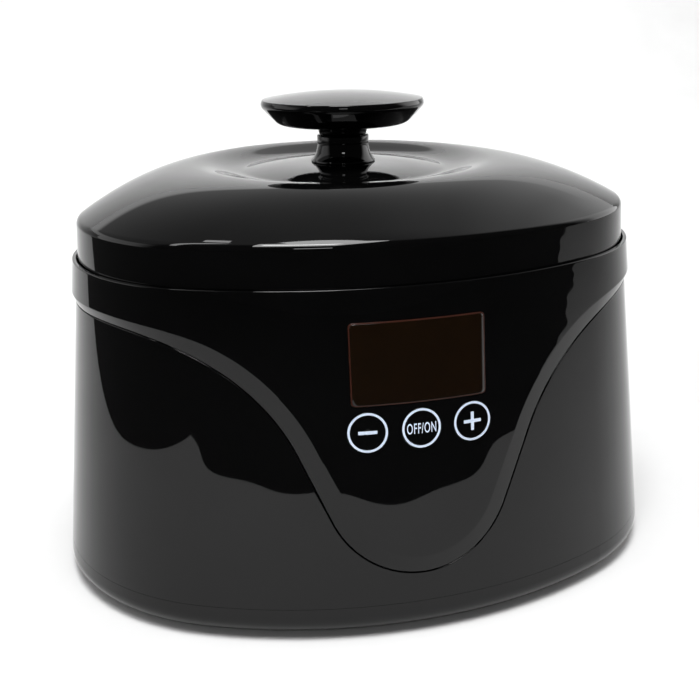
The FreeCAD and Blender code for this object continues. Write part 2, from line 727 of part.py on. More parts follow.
def band_bolt():
    y = POT_Y + WELL_RADIUS + WELL_WALL + 7
    z = sum(BAND_SPAN) / 2
    reach = BAND_GAP / 2 + BAND
    shank = Part.makeCylinder(STUD, 2 * reach + 6, V(-reach - 4, y, z), V(1, 0, 0))
    head = hexagon(3.2, 2.2, V(reach, y, z), V(1, 0, 0))
    nut = hexagon(3.2, 2.4, V(-reach - 2.4, y, z), V(1, 0, 0))
    return joined([shank, head, nut])


def hexagon(radius, length, base, axis):
    corners = [direction(60 * corner) * radius for corner in range(7)]
    prism = Part.Face(Part.makePolygon(corners)).extrude(V(0, 0, length))
    prism.Placement = FreeCAD.Placement(base, FreeCAD.Rotation(V(0, 0, 1), axis))
    return prism


def temperature_sensor():
    """Spring-loaded probe against the middle of the well's underside."""
    return turned([
        (0, SHIELD_Z + 2), (3, SHIELD_Z + 2), (3, WELL_BOTTOM - 4), (5, WELL_BOTTOM - 4),
        (5, WELL_BOTTOM - 0.05), (0, WELL_BOTTOM - 0.05),
    ])


def thermal_fuse():
    """Axial cut-out under the well, with its two leads."""
    x, y, z = 24.0, POT_Y, WELL_BOTTOM - 2.3
    body = Part.makeCylinder(2.2, 12, V(x, y - 6, z), V(0, 1, 0))
    leads = Part.makeCylinder(0.6, 28, V(x, y - 14, z), V(0, 1, 0))
    return joined([body, leads])


def heat_shield():
    """Round sheet below the well, hung on the well's studs."""
    plate = cylinder(SHIELD_RADIUS, SHIELD_Z, SHIELD_Z + SHEET, y=POT_Y)
    rim = cylinder(SHIELD_RADIUS, SHIELD_Z, SHIELD_Z + 5, y=POT_Y)
    rim = rim.cut(cylinder(SHIELD_RADIUS - SHEET, SHIELD_Z - 1, SHIELD_Z + 6, y=POT_Y))
    holes = [cylinder(STUD + 0.1, SHIELD_Z - 1, SHIELD_Z + 2, *place) for place in stud_places()]
    holes.append(cylinder(6, SHIELD_Z - 1, SHIELD_Z + 2, y=POT_Y))
    return joined([plate, rim]).cut(holes)


def stud_nuts():
    nuts = []
    for x, y in stud_places():
        nut = hexagon(3.0, 2.4, V(x, y, SHIELD_Z - 2.5), V(0, 0, 1))
        nuts.append(nut.cut(cylinder(STUD + 0.03, SHIELD_Z - 5, SHIELD_Z, x, y)))
    return Part.makeCompound(nuts)


# Front panel


def wall_layer(outer, inner):
    """The wall between two offsets, over the height of the panel."""
    return wall_solid(PANEL_LOW, DECK_TOP, outer).cut(wall_solid(PANEL_LOW - 1, DECK_TOP + 1, inner))


def display_window():
    """Tinted lens that fills its opening, with a lip that seats behind the wall."""
    half = WINDOW_WIDTH / 2
    lens = panel_block((-half, half), (WINDOW_LOW, WINDOW_HIGH), (-3, 9), WINDOW_ROUND)
    lens = lens.common(wall_layer(PROUD + WINDOW_PROUD, PROUD - WALL - WINDOW_LIP_GAP))
    span = (WINDOW_LOW - WINDOW_LIP, WINDOW_HIGH + WINDOW_LIP)
    lip = panel_block((-half - WINDOW_LIP, half + WINDOW_LIP), span, (-3, 9), WINDOW_ROUND)
    lip = lip.common(wall_layer(PROUD - WALL - WINDOW_LIP_GAP, PROUD - WALL - 1.2))
    return joined([lens, lip])


def button(x):
    """Push cap flush with the wall, with a flange behind it and a stem to its switch."""
    cap = panel_cylinder(x, BUTTON_HEIGHT, BUTTON_RADIUS, (-3, 9))
    cap = cap.common(wall_layer(PROUD, PROUD - WALL - 1))
    flange = panel_cylinder(x, BUTTON_HEIGHT, BUTTON_FLANGE, (-3, 9))
    flange = flange.common(wall_layer(PROUD - WALL - BUTTON_CLEARANCE, PROUD - WALL - 1.3))
    stem = panel_cylinder(x, BUTTON_HEIGHT, 2.2, (WALL, BUTTON_STEM_END))
    return joined([cap, flange, stem])


def led_display():
    """Three-digit module: a case with a raised bar for every segment of every digit."""
    depth = (BOARD_DEPTH - DISPLAY_TALL, BOARD_DEPTH)
    middle = (WINDOW_LOW + WINDOW_HIGH) / 2
    case = panel_block((-18.8, 18.8), (middle - 9.5, middle + 9.5), depth, 0.8)
    segments = []
    front = (depth[0] - 0.3, depth[0] + 0.5)
    for digit in (-1, 0, 1):
        x = digit * 12.6
        for level in (-6.2, 0, 6.2):
            span = (middle + level - 0.6, middle + level + 0.6)
            segments.append(panel_block((x - 2.6, x + 2.6), span, front))
        for side in (-1, 1):
            for level in (-3.1, 3.1):
                span = (middle + level - 2.2, middle + level + 2.2)
                segments.append(panel_block((x + side * 3.8 - 0.6, x + side * 3.8 + 0.6), span, front))
    return joined([case] + segments)


def control_board():
    span = (BOARD_DEPTH, BOARD_DEPTH + BOARD)
    board = panel_block((-BOARD_HALF, BOARD_HALF), BOARD_SPAN, span, 1.5)
    through = (BOARD_DEPTH - 1, BOARD_DEPTH + 3)
    return board.cut([panel_cylinder(*place, SCREW + 0.1, through) for place in board_screw_places()])


def board_screws():
    screws = []
    back = BOARD_DEPTH + BOARD
    for place in board_screw_places():
        shank = panel_cylinder(*place, SCREW - 0.05, (back - 7, back + 0.5))
        head = panel_cylinder(*place, SCREW_HEAD, (back, back + HEAD_TALL))
        screws.append(joined([shank, head]))
    return Part.makeCompound(screws)


def tact_switches():
    switches = []
    for x in BUTTON_X:
        base = (BOARD_DEPTH - SWITCH_TALL + 1, BOARD_DEPTH)
        case = panel_block((x - 3, x + 3), (BUTTON_HEIGHT - 3, BUTTON_HEIGHT + 3), base, 0.4)
        plunger = panel_cylinder(x, BUTTON_HEIGHT, 1.7, (BOARD_DEPTH - SWITCH_TALL, BOARD_DEPTH - 1))
        switches.append(joined([case, plunger]))
    return Part.makeCompound(switches)


# Power electronics on the base, the rear inlet and the wiring


def power_board():
    board = box(POWER_BOARD_X, POWER_BOARD_Y, (POWER_BOARD_Z, POWER_BOARD_TOP))
    return board.cut([cylinder(SCREW + 0.1, 0, 20, *place) for place in power_screw_places()])


def power_screws():
    top = POWER_BOARD_TOP + HEAD_TALL
    screws = [screw(POWER_BOARD_TOP - 5, top, *place, head_down=False) for place in power_screw_places()]
    return Part.makeCompound(screws)


def transformer():
    """Laminated core standing on the board, with its winding round the middle limb."""
    low = POWER_BOARD_TOP
    depth = (-10, 16)
    through = (depth[0] - 1, depth[1] + 1)
    core = box((-33, -7), depth, (low, low + 20))
    windows = [box(span, through, (low + 4, low + 16)) for span in ((-29, -24), (-16, -11))]
    winding = box((-28.5, -11.5), (depth[0] - 4, depth[1] + 4), (low + 4.5, low + 15.5))
    limb = box((-24, -16), depth, (low + 4.5, low + 15.5))
    return joined([core.cut(windows), winding.cut(limb)])


def relay():
    low = POWER_BOARD_TOP
    case = box((9.5, 25), (-16, 3), (low, low + 15.5))
    upright = [edge for edge in case.Edges if edge.BoundBox.ZLength > 10]
    return case.makeFillet(0.8, upright)


def capacitor():
    low = POWER_BOARD_TOP
    can = cylinder(6.5, low, low + 18, 14, 12)
    rims = [edge for edge in can.Edges if edge.BoundBox.ZLength < 0.01]
    return can.makeFillet(0.8, rims)


def board_fuse():
    """Glass cartridge fuse between two end caps."""
    z = POWER_BOARD_TOP + 3.2
    glass = Part.makeCylinder(2.4, 20, V(29.5, -8, z), V(0, 1, 0))
    caps = [Part.makeCylinder(3, 5, V(29.5, y, z), V(0, 1, 0)) for y in (-9, 8)]
    return joined([glass] + caps)


def terminal_block():
    low = POWER_BOARD_TOP
    body = box((-15, 15), TERMINAL_Y, (low, low + 10))
    return body.cut([cylinder(1.6, low + 8, low + 12, x, sum(TERMINAL_Y) / 2) for x in TERMINAL_X])


def socket_hollow():
    """Two round lobes side by side, the shape of a figure-eight inlet."""
    radius = SOCKET_TALL / 2
    reach = SOCKET_WIDTH / 2 - radius
    bottom = INLET_FACE - SOCKET_DEPTH
    ends = [V(side * reach, bottom, INLET_HEIGHT) for side in (-1, 1)]
    lobes = [Part.makeCylinder(radius, SOCKET_DEPTH + 5, end, V(0, 1, 0)) for end in ends]
    waist = box((-reach, reach), (bottom, INLET_FACE + 5), inlet_heights(SOCKET_TALL - 1.2))
    return joined(lobes + [waist])


def inlet_socket():
    flange = box((-PAD_WIDTH / 2 + 1.5, PAD_WIDTH / 2 - 1.5), (INLET_Y, INLET_FACE), pad_heights(-0.5))
    corners = [edge for edge in flange.Edges if abs(edge.tangentAt(edge.FirstParameter).y) > 0.99]
    flange = flange.makeFillet(2.5, corners)
    half = INLET_WIDTH / 2 - 0.2
    depth = (INLET_FACE - SOCKET_DEPTH - 3, INLET_Y + 0.1)
    shell = box((-half, half), depth, inlet_heights(INLET_TALL - 0.4))
    return joined([flange, shell]).cut([socket_hollow()] + pin_rods(0.02))


def pin_rods(margin=0.0):
    low = INLET_FACE - SOCKET_DEPTH - PIN_TAIL
    length = SOCKET_DEPTH + PIN_TAIL - 1.5
    places = [V(side * PIN_PITCH / 2, low, INLET_HEIGHT) for side in (-1, 1)]
    return [Part.makeCylinder(PIN_RADIUS + margin, length, place, V(0, 1, 0)) for place in places]


def inlet_pins():
    return Part.makeCompound(pin_rods())


def mains_wires():
    """Inlet pins to the terminal block."""
    z = POWER_BOARD_TOP + TERMINAL_HOLE
    wires = []
    for side in (-1, 1):
        start = V(side * PIN_PITCH / 2, INLET_FACE - SOCKET_DEPTH - PIN_TAIL, INLET_HEIGHT)
        end = V(side * TERMINAL_X[2], TERMINAL_Y[1], z)
        wires.append(tube([start, start - V(0, 11, 0), end + V(0, 9, 0), end], WIRE, 4))
    return Part.makeCompound(wires)


def heater_wires():
    """Terminal block to the heater band, up behind the heat shield."""
    z = POWER_BOARD_TOP + TERMINAL_HOLE
    x = TERMINAL_X[3]
    band_y = POT_Y + math.sqrt((WELL_RADIUS + WELL_WALL + BAND + 0.05) ** 2 - x ** 2)
    wires = []
    for side in (-1, 1):
        start = V(side * x, TERMINAL_Y[1], z)
        rise_y = POT_Y + SHIELD_RADIUS + 6
        knee = V(side * x, rise_y, z)
        top = V(side * x, rise_y, BAND_SPAN[0] + 5)
        end = V(side * x, band_y + 0.4, BAND_SPAN[0] + 5)
        wires.append(tube([start, knee, top, end], WIRE, 3))
    return Part.makeCompound(wires)


def sensor_lead():
    start = V(0, POT_Y, SHIELD_Z + 2)
    end = V(0, POT_Y - 8, POWER_BOARD_TOP)
    return tube([start, start - V(0, 0, 9), end + V(0, 0, 8), end], 1.0, 5)


def ribbon_cable():
    """Flat cable from behind the control board down to the front of the power board."""
    head = panel_point(0, BOARD_SPAN[0] + 5, BOARD_DEPTH + BOARD)
    foot = V(0, POWER_BOARD_Y[0] + 3, POWER_BOARD_TOP + 3)
    drop_y = POT_Y - SHIELD_RADIUS - 7
    points = [head + V(0, 1, 0), V(0, drop_y, head.z), V(0, drop_y, foot.z), foot]
    half = RIBBON_WIDTH / 2
    corners = [(-half, -0.5), (half, -0.5), (half, 0.5), (-half, 0.5), (-half, -0.5)]
    section = Part.makePolygon([points[0] + V(x, 0, z) for x, z in corners])
    cable = path(points, 5).makePipeShell([section], True, False)
    upper = box((-half - 1, half + 1), (head.y + 0.3, head.y + 4), (head.z - 2.5, head.z + 2.5))
    lower = box((-half - 1, half + 1), (foot.y - 1, foot.y + 4), (POWER_BOARD_TOP, foot.z + 2))
    return joined([cable, upper, lower])


SUB_PARTS = {
    "upper_housing": upper_housing,
    "lower_housing": lower_housing,
    "base_tray": base_tray,
    "rubber_feet": rubber_feet,
    "base_screws": base_screws,
    "housing_screws": housing_screws,
    "rating_label": rating_label,
    "lid_shell": lid_shell,
    "knob_stem": knob_stem,
    "knob_cap": knob_cap,
    "knob_washer": knob_washer,
    "knob_screw": knob_screw,
    "wax_pot": wax_pot,
    "bail_handle": bail_handle,
    "heating_well": heating_well,
    "well_gasket": well_gasket,
    "well_screws": well_screws,
    "heater_band": heater_band,
    "band_bolt": band_bolt,
    "temperature_sensor": temperature_sensor,
    "sensor_lead": sensor_lead,
    "thermal_fuse": thermal_fuse,
    "heat_shield": heat_shield,
    "stud_nuts": stud_nuts,
    "display_window": display_window,
    "button_minus": lambda: button(BUTTON_X[0]),
    "button_power": lambda: button(BUTTON_X[1]),
    "button_plus": lambda: button(BUTTON_X[2]),
    "led_display": led_display,
    "control_board": control_board,
    "board_screws": board_screws,
    "tact_switches": tact_switches,
    "power_board": power_board,
    "power_screws": power_screws,
    "transformer": transformer,
    "relay": relay,
    "capacitor": capacitor,
    "board_fuse": board_fuse,
    "terminal_block": terminal_block,
    "inlet_socket": inlet_socket,
    "inlet_pins": inlet_pins,
    "mains_wires": mains_wires,
    "heater_wires": heater_wires,
    "ribbon_cable": ribbon_cable,
}


os.makedirs("parts", exist_ok=True)
for name, make in SUB_PARTS.items():
    make().exportStep(f"parts/{name}.step")
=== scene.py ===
import math

import bmesh
import bpy
import numpy as np
from mathutils import Matrix, Vector


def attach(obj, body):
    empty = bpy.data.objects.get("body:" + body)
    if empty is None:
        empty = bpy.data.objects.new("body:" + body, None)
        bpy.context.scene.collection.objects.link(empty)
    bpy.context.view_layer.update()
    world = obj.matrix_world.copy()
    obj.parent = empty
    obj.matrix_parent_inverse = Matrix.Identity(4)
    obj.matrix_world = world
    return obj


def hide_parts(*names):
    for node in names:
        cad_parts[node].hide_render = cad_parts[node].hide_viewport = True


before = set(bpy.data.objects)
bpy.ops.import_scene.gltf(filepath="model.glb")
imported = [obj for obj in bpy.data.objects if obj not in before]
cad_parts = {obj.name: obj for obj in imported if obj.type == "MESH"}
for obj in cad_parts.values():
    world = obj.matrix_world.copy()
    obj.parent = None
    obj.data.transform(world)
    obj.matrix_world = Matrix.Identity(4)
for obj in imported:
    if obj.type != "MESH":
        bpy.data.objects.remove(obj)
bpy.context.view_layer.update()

# Wax warmer pot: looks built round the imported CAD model. Shapes are worked out in
# millimetres in the CAD frame (origin under the housing, -Y front, +Z up) and scaled
# to metres when a mesh is made. The glossy shells are drawn again from the same
# outline formula as the CAD, with denser rows, small edge radii and a bevel that narrows
# round the sides.

MM = 0.001

# Outline at the foot of the wall: tangent arcs, right-hand half, front to rear.
ARC_RADII = (160.0, 75.0, 163.5)
ARC_ENDS = (-90.0, -62.6, 33.0, 66.6, 90.0)
FRONT_Y = -96.25
COLUMN_PITCH = 1.5
TURNED_COLUMNS = 256

# Heights, walls and the tongue.
FOOT_HEIGHT = 2.0
TRAY_TOP = 12.0
TRAY_GAP = 0.05
FOOT_ROUND = 0.12
RIM_TOP = 118.6
WALL_INSET = 12.0
WALL = 2.6
LEAN = math.atan(WALL_INSET / (RIM_TOP - FOOT_HEIGHT))
PROUD = 1.5
BEVEL_WIDTH = 6.2
BEVEL_FOOT = 0.03
TONGUE_BOTTOM = 22.3
TONGUE_RADIUS = 32.6
TONGUE_SLOPE = math.radians(66.6)
TONGUE_STRAIGHT = 25.0
HIP_RADIUS = 64.5
PAST_HIP = 200.0
EDGE_TURNS = 12
RIM_LIP = 1.4
DECK_TOP = 114.0
DECK = 2.6
DECK_HOLE_RADIUS = 57.0
DECK_CHAMFER = 0.3
DECK_START = 6.0
SEAM_GAP = 0.14
EDGE_ROUND = 0.3
SHARP_EDGE = math.radians(35)

# The bevel narrows round the sides: distances from the centre line, and the share that is left.
BEVEL_TAPER = (56.0, 102.0)
BEVEL_SIDE_SHARE = 0.52

# Rows of the shells' meshes: steps in a round, the plain row beside it as a share of its radius,
# and how far the plain row beside a seam stands from it.
ROUND_STEPS = 4
ROUND_GUARD = 1.6
SEAM_GUARD = 2.0
FOOT_GUARD = 1.0
UPPER_ROWS = 28
LOWER_ROWS = 30
SKIRT_ROWS = 9
SHOULDER_STEPS = 12
DOME_ROWS = 26
DISH_ROWS = 42

# Lid and knob.
POT_Y = 4.3
LID_BOTTOM = 114.3
LIP_GUARD = 0.5
LIP_ROUND = 0.25
LID_WALL = 2.2
LID_OFFSET = -0.4
SKIRT_LEAN = 0.05
SHOULDER_BASE = 130.4
SHOULDER_ROUND = 3.0
SHOULDER_TURN = math.radians(70)
SHOULDER_TURNS = 4
RING_RADIUS = 57.0
RING_TOP = 146.2
DOME_POWER = 1.9
DISH_RADIUS = 38.0
DISH_BOTTOM = 143.0
STEM_FOOT_RADIUS = 12.1
STEM_FOOT = 145.5
STEM_TOP = 155.6
STEM_BORE = 1.7
STEM_WAIST_RADIUS = 9.7
NECK_RADIUS = 9.3
UNDER_RADII = (10.6, 14.0, 18.0, 22.0)
KNOB_UNDERSIDE = 159.6
KNOB_RIM = 168.8
KNOB_TOP = 171.6
KNOB_RADIUS = 30.6

# Front panel.
WINDOW_WIDTH = 45.6
WINDOW_LOW = 81.0
WINDOW_HIGH = 108.0
WINDOW_ROUND = 1.5
WINDOW_PROUD = 0.35
WINDOW_EDGE = 0.45
WINDOW_FALL = 0.15
WINDOW_EDGE_ROUND = 0.12
LONG_SIDE = 5.0
SIDE_STEPS = 20
PANEL_GAP = 0.2
PANEL_REACH = 45.0
PANEL_MARGIN = 3.0
PANEL_CUT = (9.0, -3.0)
BUTTON_HEIGHT = 72.3
BUTTON_PITCH = 17.8
BUTTON_X = (-BUTTON_PITCH, 0.0, BUTTON_PITCH)
BUTTON_RADIUS = 6.8
KEY_DEPTH = 3.6
KEY_ROUND = 0.18
KEY_CENTRE = 0.01
RING_OUTER = 6.55
RING_LINE = 0.75
PRINT_RISE = 0.04
PRINT_SINK = 0.02
PRINT_ROUND = 0.35
GLYPH_LINE = 1.1
GLYPH_REACH = 3.1
WORD_WIDTH = 9.9
WORD_HEIGHT = 3.5

# Rear inlet: pad, recess and hole, as half width by half height, and their depths.
INLET_Y = 93.0
INLET_HEIGHT = 27.0
INLET_PAD = (17.0, 11.5)
INLET_RECESS = (16.0, 10.0)
INLET_HOLE = (12.0, 7.5)
INLET_PAD_DEPTH = 4.0
INLET_HOLE_DEPTH = 15.0
INLET_CUT = 10.0

# Stage: paper sweep under and behind the object, dark sheets that its glossy faces mirror, and a
# pale surround for the camera. A wave of the cloth's edge is its height, its length scale and its start.
PAPER_FRONT = -1500.0
PAPER_SIDE = 2600.0
PAPER_BEND = 1300.0
PAPER_CURVE = 500.0
PAPER_HEIGHT = 960.0
PAPER_GLOW = 0.02
CLOTH_EDGE = -285.0
CLOTH_WAVES = ((14, 48, 0), (8, 21, 1))
CLOTH_TURN = 300.0
CLOTH_FALL = 0.16
CARD_LEFT = -1500.0
CARD_SPAN = (-320.0, 800.0)
CARD_EDGE = -350.0
CARD_SPREAD = 550.0
CARD_CURVE = 1.3
SHEET_RISE = 0.5
SURROUND_MIDDLE = 1.0
SURROUND_RADIUS = 3000.0
SURROUND_HEIGHT = 6000.0

# Sky: brightness across it from left to right, of the pale band low down behind, and in front; then
# the Y over which the sky comes in, and the Z over which the pale band does.
SKY_LEVELS = ((-1.0, 0.4), (-0.34, 0.3), (0.1, 0.45), (0.4, 0.7), (0.6, 1.0), (0.72, 1.4), (0.85, 2.2))
HORIZON_LEVEL = 1.2
FRONT_LEVEL = 0.04
BEHIND_FADE = (-0.3, 0.05)
HORIZON_FADE = (0.5, 0.44)

# Camera: where it stands, where it looks, its roll and its lens.
CAMERA_AT = (-105.9, -404.7, 206.05)
CAMERA_TARGET = (-2.65, -11.06, 74.53)
CAMERA_ROLL = math.radians(-0.99)
CAMERA_LENS = 56.71


# Outline and wall


def column_angles():
    """Directions of the outline's outward normal, evenly spaced along the outline."""
    half = []
    radii = ARC_RADII + (closing_radius(),)
    for radius, start, end in zip(radii, ARC_ENDS, ARC_ENDS[1:]):
        count = max(4, round(math.radians(end - start) * radius / COLUMN_PITCH))
        half.append(np.linspace(start, end, count, endpoint=False))
    right = np.concatenate(half)
    left = 180.0 - right[1:][::-1]
    return np.concatenate([right, [90.0], left])


def facing(angle):
    """Unit vector at an angle in degrees."""
    return np.array([math.cos(math.radians(angle)), math.sin(math.radians(angle))])


def arc_centres(radii):
    """Centres of the outline's arcs, each tangent to the one before."""
    point = np.array([0.0, FRONT_Y])
    centres = []
    for radius, start, end in zip(radii, ARC_ENDS, ARC_ENDS[1:]):
        centre = point - facing(start) * radius
        centres.append(centre)
        point = centre + facing(end) * radius
    return centres


def closing_radius():
    """Rear radius that brings the outline back to the centre line."""
    side_centre = arc_centres(ARC_RADII)[2]
    side_end = side_centre + facing(ARC_ENDS[3]) * ARC_RADII[2]
    return side_end[0] / facing(ARC_ENDS[3])[0]


def outline_parts(angles):
    """For each column: its unit normal, and its place on the foot outline."""
    radii = ARC_RADII + (closing_radius(),)
    centres = np.array(arc_centres(radii))
    folded = np.where(angles > 90, 180 - angles, angles)
    span = np.clip(np.searchsorted(ARC_ENDS, folded, side="right") - 1, 0, 3)
    normal = np.stack([np.cos(np.radians(folded)), np.sin(np.radians(folded))], 1)
    place = centres[span] + normal * np.array(radii)[span][:, None]
    side = np.where(angles > 90, -1.0, 1.0)[:, None] * [1.0, 0.0] + [0.0, 1.0]
    return normal * side, place * side


ANGLES = column_angles()
NORMAL, FOOT_PLACE = outline_parts(ANGLES)
FRONT_HALF = NORMAL[:, 1] < 0


def inset(height):
    """How far the leaning wall stands inside the foot outline at a height."""
    return WALL_INSET * (height - FOOT_HEIGHT) / (RIM_TOP - FOOT_HEIGHT)


def ring(height, offset):
    """One row of points round the outline, offset outwards from the foot outline."""
    height = np.broadcast_to(height, ANGLES.shape)
    offset = np.broadcast_to(offset, ANGLES.shape)
    flat = FOOT_PLACE + NORMAL * offset[:, None]
    return np.column_stack([flat, height])


def wall_ring(height, offset):
    """One row of points on the leaning wall, offset outwards from the lower wall's face."""
    return ring(height, offset - inset(height))


def circle_ring(radius, height):
    """One row of points on a circle about the pot's axis."""
    flat = NORMAL * radius + [0.0, POT_Y]
    return np.column_stack([flat, np.full(len(ANGLES), height)])


def edge_height(x, rise):
    """Height of the tongue's edge at x, moved up and inwards by rise, square to itself."""
    tip = TONGUE_RADIUS - rise
    tip_centre = TONGUE_BOTTOM + TONGUE_RADIUS
    tip_x = tip * math.sin(TONGUE_SLOPE)
    tip_z = tip_centre - tip * math.cos(TONGUE_SLOPE)
    hip_x = tip_x + TONGUE_STRAIGHT * math.cos(TONGUE_SLOPE)
    hip_z = tip_z + TONGUE_STRAIGHT * math.sin(TONGUE_SLOPE)
    hip = HIP_RADIUS + rise
    centre_x = hip_x + hip * math.sin(TONGUE_SLOPE)
    centre_z = hip_z - hip * math.cos(TONGUE_SLOPE)
    on_tip = tip_centre - np.sqrt(np.maximum(tip ** 2 - x ** 2, 0))
    on_line = tip_z + (x - tip_x) * math.tan(TONGUE_SLOPE)
    on_hip = centre_z + np.sqrt(np.maximum(hip ** 2 - np.minimum(x - centre_x, 0) ** 2, 0))
    return np.where(x < tip_x, on_tip, np.where(x < hip_x, on_line, on_hip))


def edge_heights(rise, offset):
    """Height of the tongue's edge, or of the seam behind it, in every column.

    The edge's height and how far the leaning wall brings it in are settled together, in turns.
    """
    height = edge_height(np.full(len(ANGLES), PAST_HIP), rise)
    seam = height.copy()
    for _ in range(EDGE_TURNS):
        x = np.abs(FOOT_PLACE[:, 0] + NORMAL[:, 0] * (offset - inset(height)))
        height = np.where(FRONT_HALF, edge_height(x, rise), seam)
    return height


def bevel_share():
    """Share of the bevel's width in every column: whole on the tongue, less round the sides."""
    start, end = BEVEL_TAPER
    t = np.clip((np.abs(FOOT_PLACE[:, 0]) - start) / (end - start), 0, 1)
    t = np.where(FRONT_HALF, t, 1)
    return 1 - (1 - BEVEL_SIDE_SHARE) * t ** 2 * (3 - 2 * t)


def softened(points, radius):
    """Polyline whose inner corners are rounded, with a row either side of each round."""
    rounded = [points[0]]
    for before, corner, after in zip(points, points[1:], points[2:]):
        before, corner, after = (np.array(p, float) for p in (before, corner, after))
        back = (before - corner) / np.linalg.norm(before - corner)
        ahead = (after - corner) / np.linalg.norm(after - corner)
        for share in (ROUND_GUARD, 1.0):
            rounded.append(tuple(corner + back * radius * share))
        for step in range(1, ROUND_STEPS):
            t = step / ROUND_STEPS
            start, end = corner + back * radius, corner + ahead * radius
            rounded.append(tuple(start * (1 - t) ** 2 + corner * 2 * t * (1 - t) + end * t ** 2))
        for share in (1.0, ROUND_GUARD):
            rounded.append(tuple(corner + ahead * radius * share))
    return rounded + [points[-1]]


# Meshes


def mesh_object(name, points, faces, merge=False):
    """Smooth-shaded object from points in millimetres."""
    mesh = bpy.data.meshes.new(name)
    mesh.from_pydata((np.asarray(points) * MM).tolist(), [], [list(map(int, f)) for f in faces])
    work = bmesh.new()
    work.from_mesh(mesh)
    if merge:
        bmesh.ops.remove_doubles(work, verts=work.verts, dist=1e-7)
    bmesh.ops.recalc_face_normals(work, faces=work.faces)
    for face in work.faces:
        face.smooth = True
    work.to_mesh(mesh)
    work.free()
    obj = bpy.data.objects.new(name, mesh)
    bpy.context.scene.collection.objects.link(obj)
    return obj


def skin_faces(rows, count, closed):
    """Quads between rows of points that each close on themselves."""
    row = np.arange(rows if closed else rows - 1)[:, None]
    column = np.arange(count)[None, :]
    following = (column + 1) % count
    above = (row + 1) % rows
    here, beside = row * count + column, row * count + following
    over, over_beside = above * count + column, above * count + following
    return np.stack([here, beside, over_beside, over], -1).reshape(-1, 4)


def skin(name, rings, closed=True, merge=False):
    """Quads between successive rings of equal length; closed joins the last to the first."""
    faces = skin_faces(len(rings), len(rings[0]), closed)
    return mesh_object(name, np.concatenate(rings), faces, merge)


def turned(name, profile):
    """Solid of revolution about the pot's axis, from (radius, height) points."""
    turn = np.linspace(0, 2 * math.pi, TURNED_COLUMNS, endpoint=False)
    rings = []
    for radius, height in profile:
        level = np.full(TURNED_COLUMNS, height)
        rings.append(np.column_stack([radius * np.cos(turn), POT_Y + radius * np.sin(turn), level]))
    closed = profile[0][0] > 0
    return skin(name, rings, closed, merge=not closed)


def arc_through(start, middle, end, steps):
    """Points of the circular arc from start to end through middle, without its start."""
    (ax, ay), (bx, by), (cx, cy) = start, middle, end
    d = 2 * (ax * (by - cy) + bx * (cy - ay) + cx * (ay - by))
    a2, b2, c2 = ax ** 2 + ay ** 2, bx ** 2 + by ** 2, cx ** 2 + cy ** 2
    ux = (a2 * (by - cy) + b2 * (cy - ay) + c2 * (ay - by)) / d
    uy = (a2 * (cx - bx) + b2 * (ax - cx) + c2 * (bx - ax)) / d
    radius = math.hypot(ax - ux, ay - uy)
    first = math.atan2(ay - uy, ax - ux)
    sweep = math.atan2(cy - uy, cx - ux) - first
    through = (math.atan2(by - uy, bx - ux) - first) % (2 * math.pi)
    sweep = sweep % (2 * math.pi)
    if through > sweep:
        sweep -= 2 * math.pi
    turns = [first + sweep * step / steps for step in range(1, steps + 1)]
    return [(ux + radius * math.cos(t), uy + radius * math.sin(t)) for t in turns]


def prism(name, low_outline, high_outline):
    """Closed solid between two matching outlines of 3-D points."""
    count = len(low_outline)
    points = np.concatenate([low_outline, high_outline])
    sides = skin_faces(2, count, False).tolist()
    caps = [list(range(count)), list(range(count, 2 * count))]
    return mesh_object(name, points, sides + caps)


def combined(obj, cutters, operation):
    """Apply one boolean per cutter, and drop the cutters."""
    for cutter in cutters:
        change = obj.modifiers.new("change", "BOOLEAN")
        change.operation = operation
        change.solver = "EXACT"
        change.object = cutter
    bpy.context.view_layer.update()
    result = bpy.data.meshes.new_from_object(obj.evaluated_get(bpy.context.evaluated_depsgraph_get()))
    obj.modifiers.clear()
    obj.data = result
    for cutter in cutters:
        bpy.data.objects.remove(cutter)
    return obj


# Panel frame: across is X, up runs up the leaning wall, out is square to it.

PANEL_OUT = np.array([0.0, -math.cos(LEAN), math.sin(LEAN)])


def panel_y(x, height, offset):
    """Y of the front wall, offset outwards, where it is an arc about the front centre."""
    centre = FRONT_Y + ARC_RADII[0]
    radius = ARC_RADII[0] + offset - inset(height)
    return centre - np.sqrt(radius ** 2 - x ** 2)


def on_panel(flat, offset=PROUD):
    """Points (x, height) laid on the front wall."""
    flat = np.asarray(flat, float)
    return np.column_stack([flat[:, 0], panel_y(flat[:, 0], flat[:, 1], offset), flat[:, 1]])


def panel_plane(flat, depth):
    """Points (x, height) on the plane square to the panel's axis, depth below its middle line."""
    flat = np.asarray(flat, float)
    y = FRONT_Y + inset(flat[:, 1]) - PROUD
    return np.column_stack([flat[:, 0], y, flat[:, 1]]) - PANEL_OUT * depth


def rounded_rectangle(half_width, low, high, radius, steps=8):
    """Outline of (x, height) points about x = 0."""
    points = []
    corners = ((1, high, 0), (-1, high, 90), (-1, low, 180), (1, low, 270))
    for side, level, start in corners:
        inward = -radius if level == high else radius
        for step in range(steps + 1):
            turn = math.radians(start + 90 * step / steps)
            x = side * (half_width - radius) + radius * math.cos(turn)
            points.append((x, level + inward + radius * math.sin(turn)))
    return points


def disc_outline(x, height, radius, segments=72):
    """Circle of (x, height) points."""
    turn = np.linspace(0, 2 * math.pi, segments, endpoint=False)
    return np.column_stack([x + radius * np.cos(turn), height + radius * np.sin(turn)])


def panel_cutter(outline):
    """Solid that cuts an outline through the front wall."""
    back, front = PANEL_CUT
    return prism("cutter", panel_plane(outline, back), panel_plane(outline, front))


